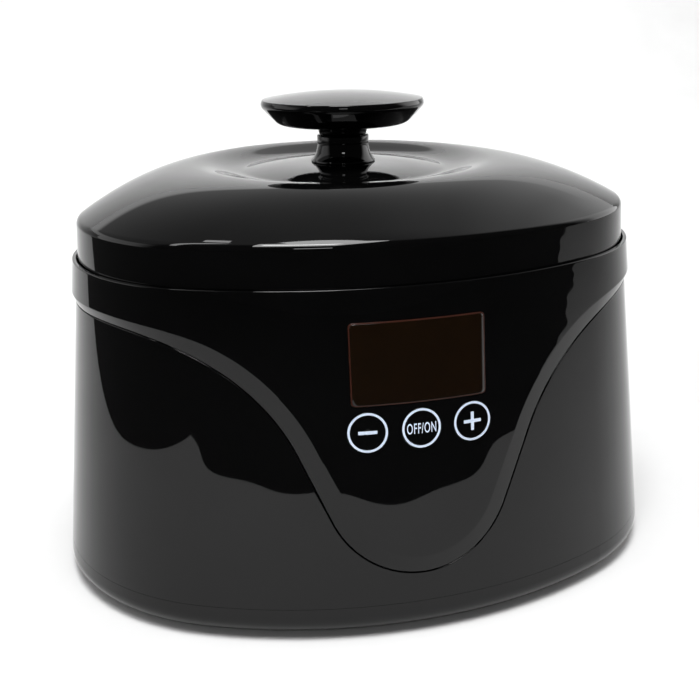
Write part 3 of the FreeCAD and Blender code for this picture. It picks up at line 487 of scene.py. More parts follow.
def panel_cutters():
    """Cutters for the window and the keys."""
    half = WINDOW_WIDTH / 2 + PANEL_GAP
    low, high = WINDOW_LOW - PANEL_GAP, WINDOW_HIGH + PANEL_GAP
    window = rounded_rectangle(half, low, high, WINDOW_ROUND + PANEL_GAP)
    outlines = [window]
    outlines += [disc_outline(x, BUTTON_HEIGHT, BUTTON_RADIUS + PANEL_GAP) for x in BUTTON_X]
    return [panel_cutter(outline) for outline in outlines]


def front_cone_normals(obj):
    """Give the front panel the exact normals of its cone, so that cut faces shade as one."""
    mesh = obj.data
    mesh.set_sharp_from_angle(angle=SHARP_EDGE)
    normals = np.zeros(len(mesh.loops) * 3, np.float32)
    mesh.corner_normals.foreach_get("vector", normals)
    normals = normals.reshape(-1, 3)
    places = np.zeros(len(mesh.vertices) * 3, np.float32)
    mesh.vertices.foreach_get("co", places)
    places = places.reshape(-1, 3) / MM
    low, high = BUTTON_HEIGHT - BUTTON_RADIUS - PANEL_MARGIN, WINDOW_HIGH + PANEL_MARGIN
    faces_front, on_surface = -0.8, 0.05
    for face in mesh.polygons:
        if face.normal.y > faces_front:
            continue
        for loop in face.loop_indices:
            x, y, z = places[mesh.loops[loop].vertex_index]
            surface = panel_y(x, z, PROUD)
            if abs(x) < PANEL_REACH and low < z < high and abs(y - surface) < on_surface:
                turn = math.atan2(y - FRONT_Y - ARC_RADII[0], x)
                cone = (math.cos(turn) * math.cos(LEAN), math.sin(turn) * math.cos(LEAN), math.sin(LEAN))
                normals[loop] = cone
    mesh.normals_split_custom_set(normals.tolist())


# Housing shells


def upper_housing():
    """Shell from the tongue and seam up over the rim to the deck round the well."""
    inner = PROUD - WALL
    low, high = SEAM_GAP, BEVEL_WIDTH + SEAM_GUARD
    bevel = softened([(low, inner), (low, BEVEL_FOOT), (BEVEL_WIDTH, PROUD), (high, PROUD)], EDGE_ROUND)
    rings = []
    taper = bevel_share()
    for rise, offset in bevel:
        rings.append(wall_ring(edge_heights(low + (rise - low) * taper, offset), offset))
    bevel_top = edge_heights(low + (high - low) * taper, PROUD)
    rim_low = RIM_TOP - FOOT_GUARD
    for share in np.linspace(0, 1, UPPER_ROWS)[1:-1]:
        rings.append(wall_ring(bevel_top + (rim_low - bevel_top) * share, PROUD))
    seat_low = PROUD - RIM_LIP - WALL_INSET + inset(DECK_TOP)
    deck_start = (seat_low - DECK_START, DECK_TOP)
    rim = [(PROUD, rim_low), (PROUD, RIM_TOP), (PROUD - RIM_LIP, RIM_TOP), (seat_low, DECK_TOP), deck_start]
    for offset, height in softened(rim, EDGE_ROUND):
        rings.append(wall_ring(height, offset))
    under = DECK_TOP - DECK
    for height in (DECK_TOP, DECK_TOP - DECK_CHAMFER, under + DECK_CHAMFER, under):
        edge = DECK_CHAMFER if height in (DECK_TOP, under) else 0.0
        rings.append(circle_ring(DECK_HOLE_RADIUS + edge, height))
    rings.append(wall_ring(under, inner))
    seam = edge_heights(low, inner)
    for share in (0.2, 0.5, 0.8):
        rings.append(wall_ring(under + (seam - under) * share, inner))
    shell = skin("upper_housing_shell", rings)
    combined(shell, panel_cutters(), "DIFFERENCE")
    front_cone_normals(shell)
    return shell


def inlet_box(half_size, front, rear):
    """Box about the inlet's middle, from front to rear."""
    half_width, half_height = half_size
    outline = [(-half_width, front), (half_width, front), (half_width, rear), (-half_width, rear)]
    low = np.array([(x, y, INLET_HEIGHT - half_height) for x, y in outline])
    high = np.array([(x, y, INLET_HEIGHT + half_height) for x, y in outline])
    return prism("inlet_box", low, high)


def lower_housing():
    """Shell from the tray up to the tongue and seam, with the inlet's pad at the rear."""
    low = -SEAM_GAP - SEAM_GUARD
    top = [(low, -WALL), (-SEAM_GAP, -WALL), (-SEAM_GAP, 0), (low, 0)]
    rings = []
    for rise, offset in softened(top, EDGE_ROUND):
        rings.append(wall_ring(edge_heights(rise, offset), offset))
    foot = TRAY_TOP + TRAY_GAP
    guard = foot + FOOT_GUARD
    upper = edge_heights(low, 0)
    for share in np.linspace(0, 1, LOWER_ROWS)[1:-1]:
        rings.append(wall_ring(upper + (guard - upper) * share, 0))
    bottom = [(0, guard), (0, foot), (-WALL, foot), (-WALL, guard)]
    for offset, height in softened(bottom, FOOT_ROUND):
        rings.append(wall_ring(height, offset))
    for share in (0.3, 0.6):
        rings.append(wall_ring(guard + (upper - guard) * share, -WALL))
    shell = skin("lower_housing_shell", rings)
    pad = inlet_box(INLET_PAD, INLET_Y - INLET_PAD_DEPTH, INLET_Y)
    combined(shell, [pad], "UNION")
    recess = inlet_box(INLET_RECESS, INLET_Y, INLET_Y + INLET_CUT)
    hole = inlet_box(INLET_HOLE, INLET_Y - INLET_HOLE_DEPTH, INLET_Y + INLET_CUT)
    combined(shell, [recess, hole], "DIFFERENCE")
    shell.data.set_sharp_from_angle(angle=SHARP_EDGE)
    return shell


# Lid and knob


def ring_height(radius):
    """Height of the lid over the raised ring's inner slope and the dish's domed floor."""
    if radius >= DISH_RADIUS:
        share = (RING_RADIUS - radius) / (RING_RADIUS - DISH_RADIUS)
        return DISH_BOTTOM + (RING_TOP - DISH_BOTTOM) * (1 + math.cos(math.pi * share)) / 2
    share = (DISH_RADIUS - radius) / (DISH_RADIUS - STEM_FOOT_RADIUS)
    return DISH_BOTTOM + (STEM_FOOT - DISH_BOTTOM) * (1 - (1 - share) ** 2)


def dome_share(t):
    """Height share across the dome: steepest at the shoulder, level at the ring's crest."""
    return 1 - (1 - t) ** DOME_POWER


def shoulder_ring(turn, depth):
    """Row on the shoulder's round; turn is each column's angle from the horizontal."""
    radius = SHOULDER_ROUND - depth
    skirt = LID_OFFSET - WALL_INSET - SKIRT_LEAN * (SHOULDER_BASE - RIM_TOP) - depth
    return ring(SHOULDER_BASE + radius * np.sin(turn), skirt - radius * (1 - np.cos(turn)))


def lid_rows(depth):
    """Rows from the skirt's lower edge to the dish, depth below the outer face.

    The shoulder's round ends where it meets the dome's slope, which is settled in turns.
    """
    rows = []
    for height in np.linspace(LID_BOTTOM + LIP_GUARD, SHOULDER_BASE, SKIRT_ROWS)[:-1]:
        rows.append(ring(height, LID_OFFSET - WALL_INSET - SKIRT_LEAN * (height - RIM_TOP) - depth))
    crest = circle_ring(RING_RADIUS, RING_TOP - depth)
    end = np.full(len(ANGLES), SHOULDER_TURN)
    for _ in range(SHOULDER_TURNS):
        start = shoulder_ring(end, depth)
        run = np.linalg.norm((crest - start)[:, :2], axis=1)
        slope = (crest - start)[:, 2] * DOME_POWER / run
        end = math.pi / 2 - np.arctan(slope)
    for step in range(SHOULDER_STEPS + 1):
        rows.append(shoulder_ring(end * step / SHOULDER_STEPS, depth))
    start = rows[-1]
    for t in [0.01, 0.03] + list(np.linspace(0.06, 0.98, DOME_ROWS)):
        row = start + (crest - start) * t
        row[:, 2] = start[:, 2] + (crest - start)[:, 2] * dome_share(t)
        rows.append(row)
    rows.append(crest)
    for radius in np.linspace(RING_RADIUS, STEM_FOOT_RADIUS, DISH_ROWS)[1:]:
        rows.append(circle_ring(radius, ring_height(radius) - depth))
    rows.append(circle_ring(STEM_BORE, STEM_FOOT - depth))
    return rows


def lid_shell():
    """Skirt, shoulder, dome, raised ring and dish, outside and inside."""
    skirt = LID_OFFSET - WALL_INSET + SKIRT_LEAN * (RIM_TOP - LID_BOTTOM)
    inner, top = skirt - LID_WALL, LID_BOTTOM + LIP_GUARD
    lip = [(inner, top), (inner, LID_BOTTOM), (skirt, LID_BOTTOM), (skirt, top)]
    edge = [ring(height, offset) for offset, height in softened(lip, LIP_ROUND)[1:-1]]
    return skin("lid_shell_skin", edge + lid_rows(0) + lid_rows(LID_WALL)[::-1])


def dome_profile(radius, low, high, steps):
    """Sphere from the rim at low to the axis at high."""
    sphere = (radius ** 2 + (high - low) ** 2) / (2 * (high - low))
    sweep = math.asin(radius / sphere)
    turns = [sweep * (1 - step / steps) for step in range(1, steps + 1)]
    return [(sphere * math.sin(t), high - sphere + sphere * math.cos(t)) for t in turns]


def knob_cap():
    """Cap with a short neck, a flat underside, a flared side and a shallow domed top."""
    rim_low = KNOB_RIM - 3.2
    neck_top = (NECK_RADIUS, STEM_TOP + 1.8)
    under_end = (KNOB_RADIUS - 5, KNOB_UNDERSIDE + 1.4)
    side_low = (KNOB_RADIUS - 0.7, rim_low)
    side_high = (KNOB_RADIUS - 0.4, KNOB_RIM - 0.3)
    dome_rim = (KNOB_RADIUS - 0.8, KNOB_RIM + 0.05)
    profile = [(0, STEM_TOP), (NECK_RADIUS - 0.7, STEM_TOP), (NECK_RADIUS - 0.5, STEM_TOP + 0.2), neck_top]
    under = [(radius, KNOB_UNDERSIDE) for radius in UNDER_RADII]
    profile += arc_through(neck_top, (NECK_RADIUS + 0.3, KNOB_UNDERSIDE - 0.8), under[0], 5) + under[1:]
    profile += arc_through(under[-1], (KNOB_RADIUS - 6.7, KNOB_UNDERSIDE + 0.4), under_end, 5)
    profile += [(KNOB_RADIUS - 2.6, KNOB_UNDERSIDE + 3.9), side_low]
    profile += arc_through(side_low, (KNOB_RADIUS, rim_low + 1.6), side_high, 7)
    profile += arc_through(side_high, (KNOB_RADIUS - 0.5, KNOB_RIM - 0.06), dome_rim, 3)
    profile += dome_profile(*dome_rim, KNOB_TOP, 24)
    return turned("knob_cap_skin", profile)


def knob_stem():
    """Waisted stem: a flared foot that runs up into a straight neck."""
    foot_edge = (STEM_FOOT_RADIUS, STEM_FOOT + 0.5)
    waist = (STEM_WAIST_RADIUS, STEM_TOP - 2.8)
    profile = [(STEM_BORE, STEM_FOOT), (STEM_FOOT_RADIUS - 0.2, STEM_FOOT)]
    profile += [(STEM_FOOT_RADIUS, STEM_FOOT + 0.2), foot_edge]
    profile += arc_through(foot_edge, (STEM_WAIST_RADIUS + 0.6, STEM_FOOT + 3.6), waist, 12)
    profile += [(STEM_WAIST_RADIUS + 0.1, STEM_TOP - 0.6), (STEM_WAIST_RADIUS, STEM_TOP - 0.2)]
    profile += [(STEM_WAIST_RADIUS - 0.3, STEM_TOP), (STEM_BORE, STEM_TOP)]
    return turned("knob_stem_skin", profile)


# Front panel pieces


def window_grid(half_width, low, high, radius, offset):
    """Grid of points filling a rounded rectangle on the wall, row by row."""
    columns, rows = 40, 28
    half = (high - low) / 2
    middle = (high + low) / 2
    grid = []
    for turn in np.linspace(-math.pi / 2, math.pi / 2, rows):
        level = half * math.sin(turn)
        past = max(abs(level) - (half - radius), 0)
        width = half_width - radius + math.sqrt(max(radius ** 2 - past ** 2, 0))
        flat = [(width * u, middle + level) for u in np.linspace(-1, 1, columns)]
        grid.append(on_panel(flat, offset))
    return np.array(grid)


def grid_faces(index):
    """Quads of a grid, from its table of point numbers."""
    corners = [index[:-1, :-1], index[:-1, 1:], index[1:, 1:], index[1:, :-1]]
    return np.stack(corners, -1).reshape(-1, 4)


def grid_slab(name, front, back):
    """Closed slab between two matching grids."""
    rows, columns = front.shape[:2]
    points = np.concatenate([front.reshape(-1, 3), back.reshape(-1, 3)])
    index = np.arange(rows * columns).reshape(rows, columns)
    faces = grid_faces(index)
    rim = list(index[0]) + list(index[1:, -1]) + list(index[-1, -2::-1]) + list(index[-2:0:-1, 0])
    other = len(points) // 2
    sides = [[a, b, b + other, a + other] for a, b in zip(rim, rim[1:] + rim[:1])]
    return mesh_object(name, points, faces.tolist() + (faces + other).tolist() + sides)


def display_window():
    """Tinted lens in a narrow polished edge."""
    half = WINDOW_WIDTH / 2 - WINDOW_EDGE
    span = (WINDOW_LOW + WINDOW_EDGE, WINDOW_HIGH - WINDOW_EDGE)
    radius = WINDOW_ROUND - WINDOW_EDGE
    front = window_grid(half, *span, radius, PROUD + WINDOW_PROUD)
    back = window_grid(half, *span, radius, PROUD - WALL)
    return grid_slab("display_lens", front, back)


def window_edge():
    """Polished edge of the lens, rounded over to the wall."""
    top = PROUD + WINDOW_PROUD
    back = PROUD - WALL
    section = [(WINDOW_EDGE, back), (WINDOW_EDGE, top), (0, top - WINDOW_FALL), (0, back)]
    rings = []
    for inward, offset in softened(section, WINDOW_EDGE_ROUND):
        half = WINDOW_WIDTH / 2 - inward
        outline = rounded_rectangle(half, WINDOW_LOW + inward, WINDOW_HIGH - inward, WINDOW_ROUND - inward)
        rings.append(on_panel(dense(outline), offset))
    return skin("display_lens_edge", rings)


def dense(outline):
    """The outline's points with its long straight sides divided."""
    points = []
    outline = np.asarray(outline, float)
    for here, following in zip(outline, np.roll(outline, -1, axis=0)):
        count = SIDE_STEPS if np.linalg.norm(following - here) > LONG_SIDE else 1
        points += [here + (following - here) * step / count for step in range(count)]
    return np.array(points)


def panel_disc(name, x, radius, edge, offset):
    """Round cap that follows the wall, with a softened edge."""
    rings = []
    back = offset - KEY_DEPTH
    section = softened([(KEY_CENTRE, offset), (radius, offset), (radius, back), (KEY_CENTRE, back)], edge)
    spaced = [section[0]] + [(radius * share, offset) for share in (0.2, 0.4, 0.6, 0.8)] + section[1:]
    for reach, level in spaced:
        rings.append(on_panel(disc_outline(x, BUTTON_HEIGHT, reach), level))
    return skin(name, rings)


def printed_band(name, x, outer, width):
    """Thin flat ring of print on a key."""
    low, high = PROUD - PRINT_SINK, PROUD + PRINT_RISE
    rings = []
    for reach, level in ((outer, low), (outer, high), (outer - width, high), (outer - width, low)):
        rings.append(on_panel(disc_outline(x, BUTTON_HEIGHT, reach, 96), level))
    band = skin(name, rings)
    band.data.set_sharp_from_angle(angle=SHARP_EDGE)
    return band


def printed_bar(name, x, half_width, half_height):
    """Thin flat bar of print, with rounded ends, centred on a key."""
    low, high = BUTTON_HEIGHT - half_height, BUTTON_HEIGHT + half_height
    outline = rounded_rectangle(half_width, low, high, min(half_width, half_height) * PRINT_ROUND, 4)
    outline = np.array(outline) + [x, 0]
    bar = prism(name, on_panel(outline, PROUD - PRINT_SINK), on_panel(outline, PROUD + PRINT_RISE))
    bar.data.set_sharp_from_angle(angle=SHARP_EDGE)
    return bar


def printed_word(name, word, x, width, height):
    """Bold condensed capitals laid on the wall, as thin solid print."""
    curve = bpy.data.curves.new(name, "FONT")
    curve.body = word
    curve.align_x = "CENTER"
    curve.align_y = "CENTER"
    curve.offset = 0.006
    curve.space_character = 1.12
    curve.extrude = 0.5
    curve.resolution_u = 6
    source = bpy.data.objects.new(name + "_source", curve)
    bpy.context.scene.collection.objects.link(source)
    bpy.context.view_layer.update()
    mesh = bpy.data.meshes.new_from_object(source.evaluated_get(bpy.context.evaluated_depsgraph_get()))
    bpy.data.objects.remove(source)
    places = np.array([vertex.co for vertex in mesh.vertices])
    middle = (places.max(0) + places.min(0)) / 2
    size = places.max(0) - places.min(0)
    flat = (places - middle)[:, :2] / size[:2] * [width, height] + [x, BUTTON_HEIGHT]
    outer = places[:, 2] > middle[2]
    front, back = on_panel(flat, PROUD + PRINT_RISE), on_panel(flat, PROUD - PRINT_SINK)
    on_wall = np.where(outer[:, None], front, back)
    faces = [list(face.vertices) for face in mesh.polygons]
    text = mesh_object(name, on_wall, faces, merge=True)
    text.data.set_sharp_from_angle(angle=SHARP_EDGE)
    return text


# Materials: every one has its own node tree, driven by the piece's own coordinates.

GLOSS_BASE = 0.0012
GLOSS_IOR = 1.38

# The noise values that a finish's two tones and its roughness are spread between.
NOISE_BAND = (0.3, 0.7)


def node_tree(name):
    """New material, its tree, its shader and the piece's own coordinates."""
    material = bpy.data.materials.new(name)
    material.use_nodes = True
    tree = material.node_tree
    shader = tree.nodes["Principled BSDF"]
    place = tree.nodes.new("ShaderNodeTexCoord")
    return material, tree, shader, place.outputs["Object"]


def noise(tree, place, scale, detail, stretch):
    """Noise value at a place."""
    mapping = tree.nodes.new("ShaderNodeMapping")
    mapping.inputs["Scale"].default_value = stretch
    tree.links.new(place, mapping.inputs["Vector"])
    texture = tree.nodes.new("ShaderNodeTexNoise")
    texture.inputs["Scale"].default_value = scale
    texture.inputs["Detail"].default_value = detail
    tree.links.new(mapping.outputs["Vector"], texture.inputs["Vector"])
    return texture.outputs["Fac"]


def ramp(tree, value, dark, light):
    """Noise value turned into a colour from dark to light."""
    colours = tree.nodes.new("ShaderNodeValToRGB")
    for element, position, colour in zip(colours.color_ramp.elements, NOISE_BAND, (dark, light)):
        element.position = position
        element.color = (*colour, 1)
    tree.links.new(value, colours.inputs["Fac"])
    return colours.outputs["Color"]


def spread(tree, value, low, high):
    """Noise value spread over a range."""
    remap = tree.nodes.new("ShaderNodeMapRange")
    remap.inputs["From Min"].default_value, remap.inputs["From Max"].default_value = NOISE_BAND
    remap.inputs["To Min"].default_value = low
    remap.inputs["To Max"].default_value = high
    tree.links.new(value, remap.inputs["Value"])
    return remap.outputs["Result"]


def bump(tree, shader, value, distance):
    """Relief of a height in millimetres."""
    relief = tree.nodes.new("ShaderNodeBump")
    relief.inputs["Strength"].default_value = 1.0
    relief.inputs["Distance"].default_value = distance * MM
    tree.links.new(value, relief.inputs["Height"])
    tree.links.new(relief.outputs["Normal"], shader.inputs["Normal"])


def finish(name, dark, light, rough, scale=120, relief=0, relief_scale=900, stretch=(1, 1, 1), **values):
    """Two-tone surface with uneven roughness and fine relief; values set shader sockets."""
    material, tree, shader, place = node_tree(name)
    tone = ramp(tree, noise(tree, place, scale, 5.0, stretch), dark, light)
    tree.links.new(tone, shader.inputs["Base Color"])
    grain = noise(tree, place, relief_scale, 3.0, stretch)
    tree.links.new(spread(tree, grain, *rough), shader.inputs["Roughness"])
    if relief:
        bump(tree, shader, grain, relief)
    for socket, value in values.items():
        shader.inputs[socket].default_value = value
    return material


def gloss_black(name):
    """Polished black moulding: clean reflections with the faintest mould flow."""
    dark = (GLOSS_BASE * 0.85, GLOSS_BASE * 0.85, GLOSS_BASE * 0.9)
    light = (GLOSS_BASE * 1.2, GLOSS_BASE * 1.2, GLOSS_BASE * 1.25)
    return finish(name, dark, light, (0.012, 0.03), scale=60, relief=0.0004, relief_scale=160, IOR=GLOSS_IOR)


def metal(name, dark, light, rough, stretch=(1, 1, 1), relief=0.004):
    """Bare metal; a long stretch turns its grain into brush or lathe marks."""
    return finish(
        name, dark, light, rough, scale=300, relief=relief, relief_scale=1500, stretch=stretch, Metallic=1.0)


def grey(level):
    """Neutral colour."""
    return (level, level, level)


def build_materials():
    """One material for each of the record's slots."""
    return {
        "gloss_black": gloss_black("gloss_black"),
        "button_black": gloss_black("button_black"),
        "foot_rubber": finish("foot_rubber", grey(0.018), grey(0.035), (0.6, 0.8), relief=0.02),
        "screw_steel": metal("screw_steel", grey(0.42), grey(0.58), (0.2, 0.34)),
        "blank_label": finish("blank_label", grey(0.55), grey(0.62), (0.4, 0.55), relief=0.004),
        "pot_aluminium": metal(
            "pot_aluminium", grey(0.66), grey(0.78), (0.16, 0.3), stretch=(1, 1, 14), relief=0.003),
        "bail_steel": metal("bail_steel", grey(0.5), grey(0.62), (0.12, 0.22)),
        "well_aluminium": metal(
            "well_aluminium", grey(0.5), grey(0.62), (0.28, 0.42), stretch=(1, 1, 10)),
        "silicone": finish("silicone", (0.35, 0.06, 0.04), (0.45, 0.09, 0.06), (0.45, 0.6), relief=0.01),
        "mica_band": finish("mica_band", (0.3, 0.27, 0.2), (0.46, 0.42, 0.33), (0.3, 0.5), relief=0.03),
        "probe_steel": metal("probe_steel", grey(0.5), grey(0.6), (0.15, 0.25)),
        "wire_insulation": finish("wire_insulation", grey(0.7), grey(0.8), (0.35, 0.5), relief=0.01),
        "fuse_body": finish("fuse_body", (0.75, 0.72, 0.66), (0.85, 0.82, 0.76), (0.3, 0.45), relief=0.01),
        "shield_steel": metal("shield_steel", grey(0.45), grey(0.6), (0.3, 0.45), relief=0.01),
        "tinted_window": finish(
            "tinted_window", (0.0055, 0.0024, 0.0006), (0.0072, 0.0032, 0.0009), (0.03, 0.06), scale=80,
            IOR=GLOSS_IOR),
        "display_case": finish("display_case", grey(0.02), grey(0.03), (0.4, 0.5), relief=0.01),
        "circuit_board": finish(
            "circuit_board", (0.01, 0.12, 0.045), (0.02, 0.17, 0.06), (0.3, 0.45), scale=700, relief=0.01),
        "switch_case": finish("switch_case", grey(0.03), grey(0.06), (0.35, 0.5), relief=0.01),
        "laminated_core": finish(
            "laminated_core", grey(0.12), grey(0.22), (0.4, 0.6), scale=900, relief=0.05,
            relief_scale=1200, stretch=(1, 12, 1), Metallic=0.7),
        "relay_case": finish("relay_case", (0.02, 0.06, 0.3), (0.03, 0.08, 0.36), (0.3, 0.4), relief=0.01),
        "capacitor_sleeve": finish(
            "capacitor_sleeve", (0.012, 0.014, 0.04), (0.02, 0.022, 0.06), (0.25, 0.35)),
        "fuse_glass": finish("fuse_glass", grey(0.6), grey(0.75), (0.05, 0.12), IOR=1.5),
        "terminal_green": finish(
            "terminal_green", (0.02, 0.2, 0.07), (0.03, 0.26, 0.09), (0.35, 0.5), relief=0.01),
        "inlet_black": finish(
            "inlet_black", grey(0.012), grey(0.02), (0.3, 0.42), scale=300, relief=0.01),
        "pin_brass": metal("pin_brass", (0.6, 0.42, 0.16), (0.75, 0.55, 0.24), (0.15, 0.25)),
        "ribbon_grey": finish(
            "ribbon_grey", grey(0.35), grey(0.5), (0.4, 0.55), scale=900, relief=0.03, stretch=(12, 1, 1)),
    }


def window_edge_material():
    """Reddish polished edge of the lens: the lens's own red-brown tint, painted lighter as a painted sheen.
    """
    return finish(
        "window_edge_tint_and_painted_sheen", (0.03, 0.0105, 0.007), (0.045, 0.015, 0.01), (0.08, 0.15), scale=300,
        relief=0.001, IOR=1.22)


def print_material():
    """Pale blue-white ink."""
    return finish(
        "panel_print", (0.66, 0.76, 0.92), (0.74, 0.84, 1.0), (0.35, 0.5), scale=900, relief=0.002,
        relief_scale=2500)


def dress(obj, material):
    """Give an object one material."""
    obj.data.materials.clear()
    obj.data.materials.append(material)


# The slot whose finish each CAD node takes.
NODE_SLOTS = {
    "upper_housing": "gloss_black", "lower_housing": "gloss_black", "base_tray": "gloss_black",
    "rubber_feet": "foot_rubber", "base_screws": "screw_steel", "housing_screws": "screw_steel",
    "rating_label": "blank_label", "lid_shell": "gloss_black", "knob_stem": "gloss_black",
    "knob_cap": "gloss_black", "knob_washer": "screw_steel", "knob_screw": "screw_steel",
    "wax_pot": "pot_aluminium", "bail_handle": "bail_steel", "heating_well": "well_aluminium",
    "well_gasket": "silicone", "well_screws": "screw_steel", "heater_band": "mica_band",
    "band_bolt": "screw_steel", "temperature_sensor": "probe_steel", "sensor_lead": "wire_insulation",
    "thermal_fuse": "fuse_body", "heat_shield": "shield_steel", "stud_nuts": "screw_steel",
    "display_window": "tinted_window", "led_display": "display_case", "control_board": "circuit_board",
    "board_screws": "screw_steel", "tact_switches": "switch_case", "power_board": "circuit_board",
    "power_screws": "screw_steel", "transformer": "laminated_core", "relay": "relay_case",
    "capacitor": "capacitor_sleeve", "board_fuse": "fuse_glass", "terminal_block": "terminal_green",
    "inlet_socket": "inlet_black", "inlet_pins": "pin_brass", "mains_wires": "wire_insulation",
    "heater_wires": "wire_insulation", "ribbon_cable": "ribbon_grey",
    "button_minus": "button_black", "button_power": "button_black", "button_plus": "button_black",
}


def dress_nodes(materials):
    """Give every CAD node its slot's material."""
    for node, slot in NODE_SLOTS.items():
        for material_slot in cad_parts[node].material_slots:
            material_slot.material = materials[slot]


def add_piece(obj, body, node, material):
    """Put a new piece on its body, in place of a CAD node if it has one, and give it its material."""
    dress(obj, material)
    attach(obj, body)
    if node:
        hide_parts(node)


def build_pieces(materials):
    """Make every drawn piece and put it on its body."""
    gloss = materials["gloss_black"]
    for make in (upper_housing, lower_housing):
        add_piece(make(), "housing", make.__name__, gloss)
    for make in (lid_shell, knob_stem, knob_cap):
        add_piece(make(), "lid", make.__name__, gloss)
    add_piece(display_window(), "housing", "display_window", materials["tinted_window"])
    # The lens edge's lighter reddish tone is painted sheen over the lens's own tint.
    add_piece(window_edge(), "housing", None, window_edge_material())
    ink = print_material()
    keys = (("minus_key", "button_minus"), ("power_key", "button_power"), ("plus_key", "button_plus"))
    for (key, node), x in zip(keys, BUTTON_X):
        cap = panel_disc(key + "_cap", x, BUTTON_RADIUS, KEY_ROUND, PROUD)
        add_piece(cap, key, node, materials["button_black"])
        add_piece(printed_band(key + "_ring", x, RING_OUTER, RING_LINE), key, None, ink)
    minus_x, power_x, plus_x = BUTTON_X
    long, short = GLYPH_REACH, GLYPH_LINE / 2
    add_piece(printed_bar("minus_sign", minus_x, long, short), "minus_key", None, ink)
    add_piece(printed_bar("plus_sign_across", plus_x, long, short), "plus_key", None, ink)
    add_piece(printed_bar("plus_sign_up", plus_x, short, long), "plus_key", None, ink)
    word = printed_word("power_word", "OFF/ON", power_x, WORD_WIDTH, WORD_HEIGHT)
    add_piece(word, "power_key", None, ink)


# Stage, light and camera


def sheet(name, rows, material):
    """Open surface through rows of points of equal length."""
    grid = np.array(rows)
    index = np.arange(grid[..., 0].size).reshape(grid.shape[:2])
    obj = mesh_object(name, grid.reshape(-1, 3), grid_faces(index))
    dress(obj, material)
    return obj


def glow(material, strength):
    """Let a surface give white light of its own."""
    shader = material.node_tree.nodes["Principled BSDF"]
    shader.inputs["Emission Color"].default_value = (1, 1, 1, 1)
    shader.inputs["Emission Strength"].default_value = strength


def pale_floor():
    """Pale paper under the object that curves up into a backdrop."""
    turn = np.linspace(0, math.pi / 2, 14)
    profile = [(PAPER_FRONT, 0.0)]
    profile += [(PAPER_BEND + PAPER_CURVE * math.sin(t), PAPER_CURVE * (1 - math.cos(t))) for t in turn]
    profile += [(PAPER_BEND + PAPER_CURVE, PAPER_HEIGHT)]
    across = np.linspace(-PAPER_SIDE, PAPER_SIDE, 2)
    rows = [np.column_stack([across, np.full(2, y), np.full(2, z)]) for y, z in profile]
    pale = finish("floor_paper", grey(0.76), grey(0.8), (0.7, 0.9), scale=8, relief=0.002, relief_scale=300)
    glow(pale, PAPER_GLOW)
    return sheet("floor_paper", rows, pale)


def dark_sheets():
    """Wavy-edged cloth in front of the object and card to its left, seen only in reflections."""
    dark = finish(
        "dark_cloth", grey(0.008), grey(0.012), (0.8, 0.95), scale=8, relief=0.01, relief_scale=300)
    x = np.linspace(-PAPER_SIDE, PAPER_SIDE, 400)
    level = np.full(len(x), SHEET_RISE)
    edge = CLOTH_EDGE - CLOTH_FALL * np.maximum(x - CLOTH_TURN, 0)
    for height, length, start in CLOTH_WAVES:
        edge += height * np.sin(x / length + start)
    cloth = [np.column_stack([x, y, level]) for y in (edge, np.full(len(x), PAPER_FRONT))]
    card = []
    for y in np.linspace(*CARD_SPAN, 30):
        right = CARD_EDGE - CARD_SPREAD * (max(y, 0) / CARD_SPAN[1]) ** CARD_CURVE
        card.append([(CARD_LEFT, y, 2 * SHEET_RISE), (right, y, 2 * SHEET_RISE)])
    sheets = sheet("dark_cloth", cloth, dark), sheet("dark_card", card, dark)
    for obj in sheets:
        obj.visible_camera = False
        obj.visible_diffuse = False
        obj.visible_shadow = False
    return sheets


def pale_wall():
    """Plain pale surround that only the camera sees, so that no view has a dark background."""
    turn = np.linspace(0, 2 * math.pi, 96)
    rows = []
    low = -SHEET_RISE
    corners = ((SURROUND_MIDDLE, low), (SURROUND_RADIUS, low), (SURROUND_RADIUS, SURROUND_HEIGHT))
    for radius, height in corners:
        level = np.full(len(turn), height)
        rows.append(np.column_stack([radius * np.cos(turn), radius * np.sin(turn), level]))
    pale = finish("wall_paper", grey(0), grey(0), (0.9, 1.0), scale=8)
    glow(pale, 1.0)
    wall = sheet("wall_paper", rows, pale)
    wall.visible_diffuse = False
    wall.visible_glossy = False
    wall.visible_shadow = False
    return wall


def softbox(name, at, towards, size, power, turn=0.0):
    """Area light at a place, facing another, turned about the way it faces by an angle in degrees."""
    light = bpy.data.lights.new(name, "AREA")
    light.shape = "RECTANGLE"
    light.size, light.size_y = size
    light.energy = power
    obj = bpy.data.objects.new(name, light)
    obj.location = at
    aim = (Vector(towards) - Vector(at)).to_track_quat("-Z", "Y")
    obj.rotation_euler = (aim.to_matrix() @ Matrix.Rotation(math.radians(turn), 3, "Z")).to_euler()
    obj.visible_camera = False
    bpy.context.scene.collection.objects.link(obj)


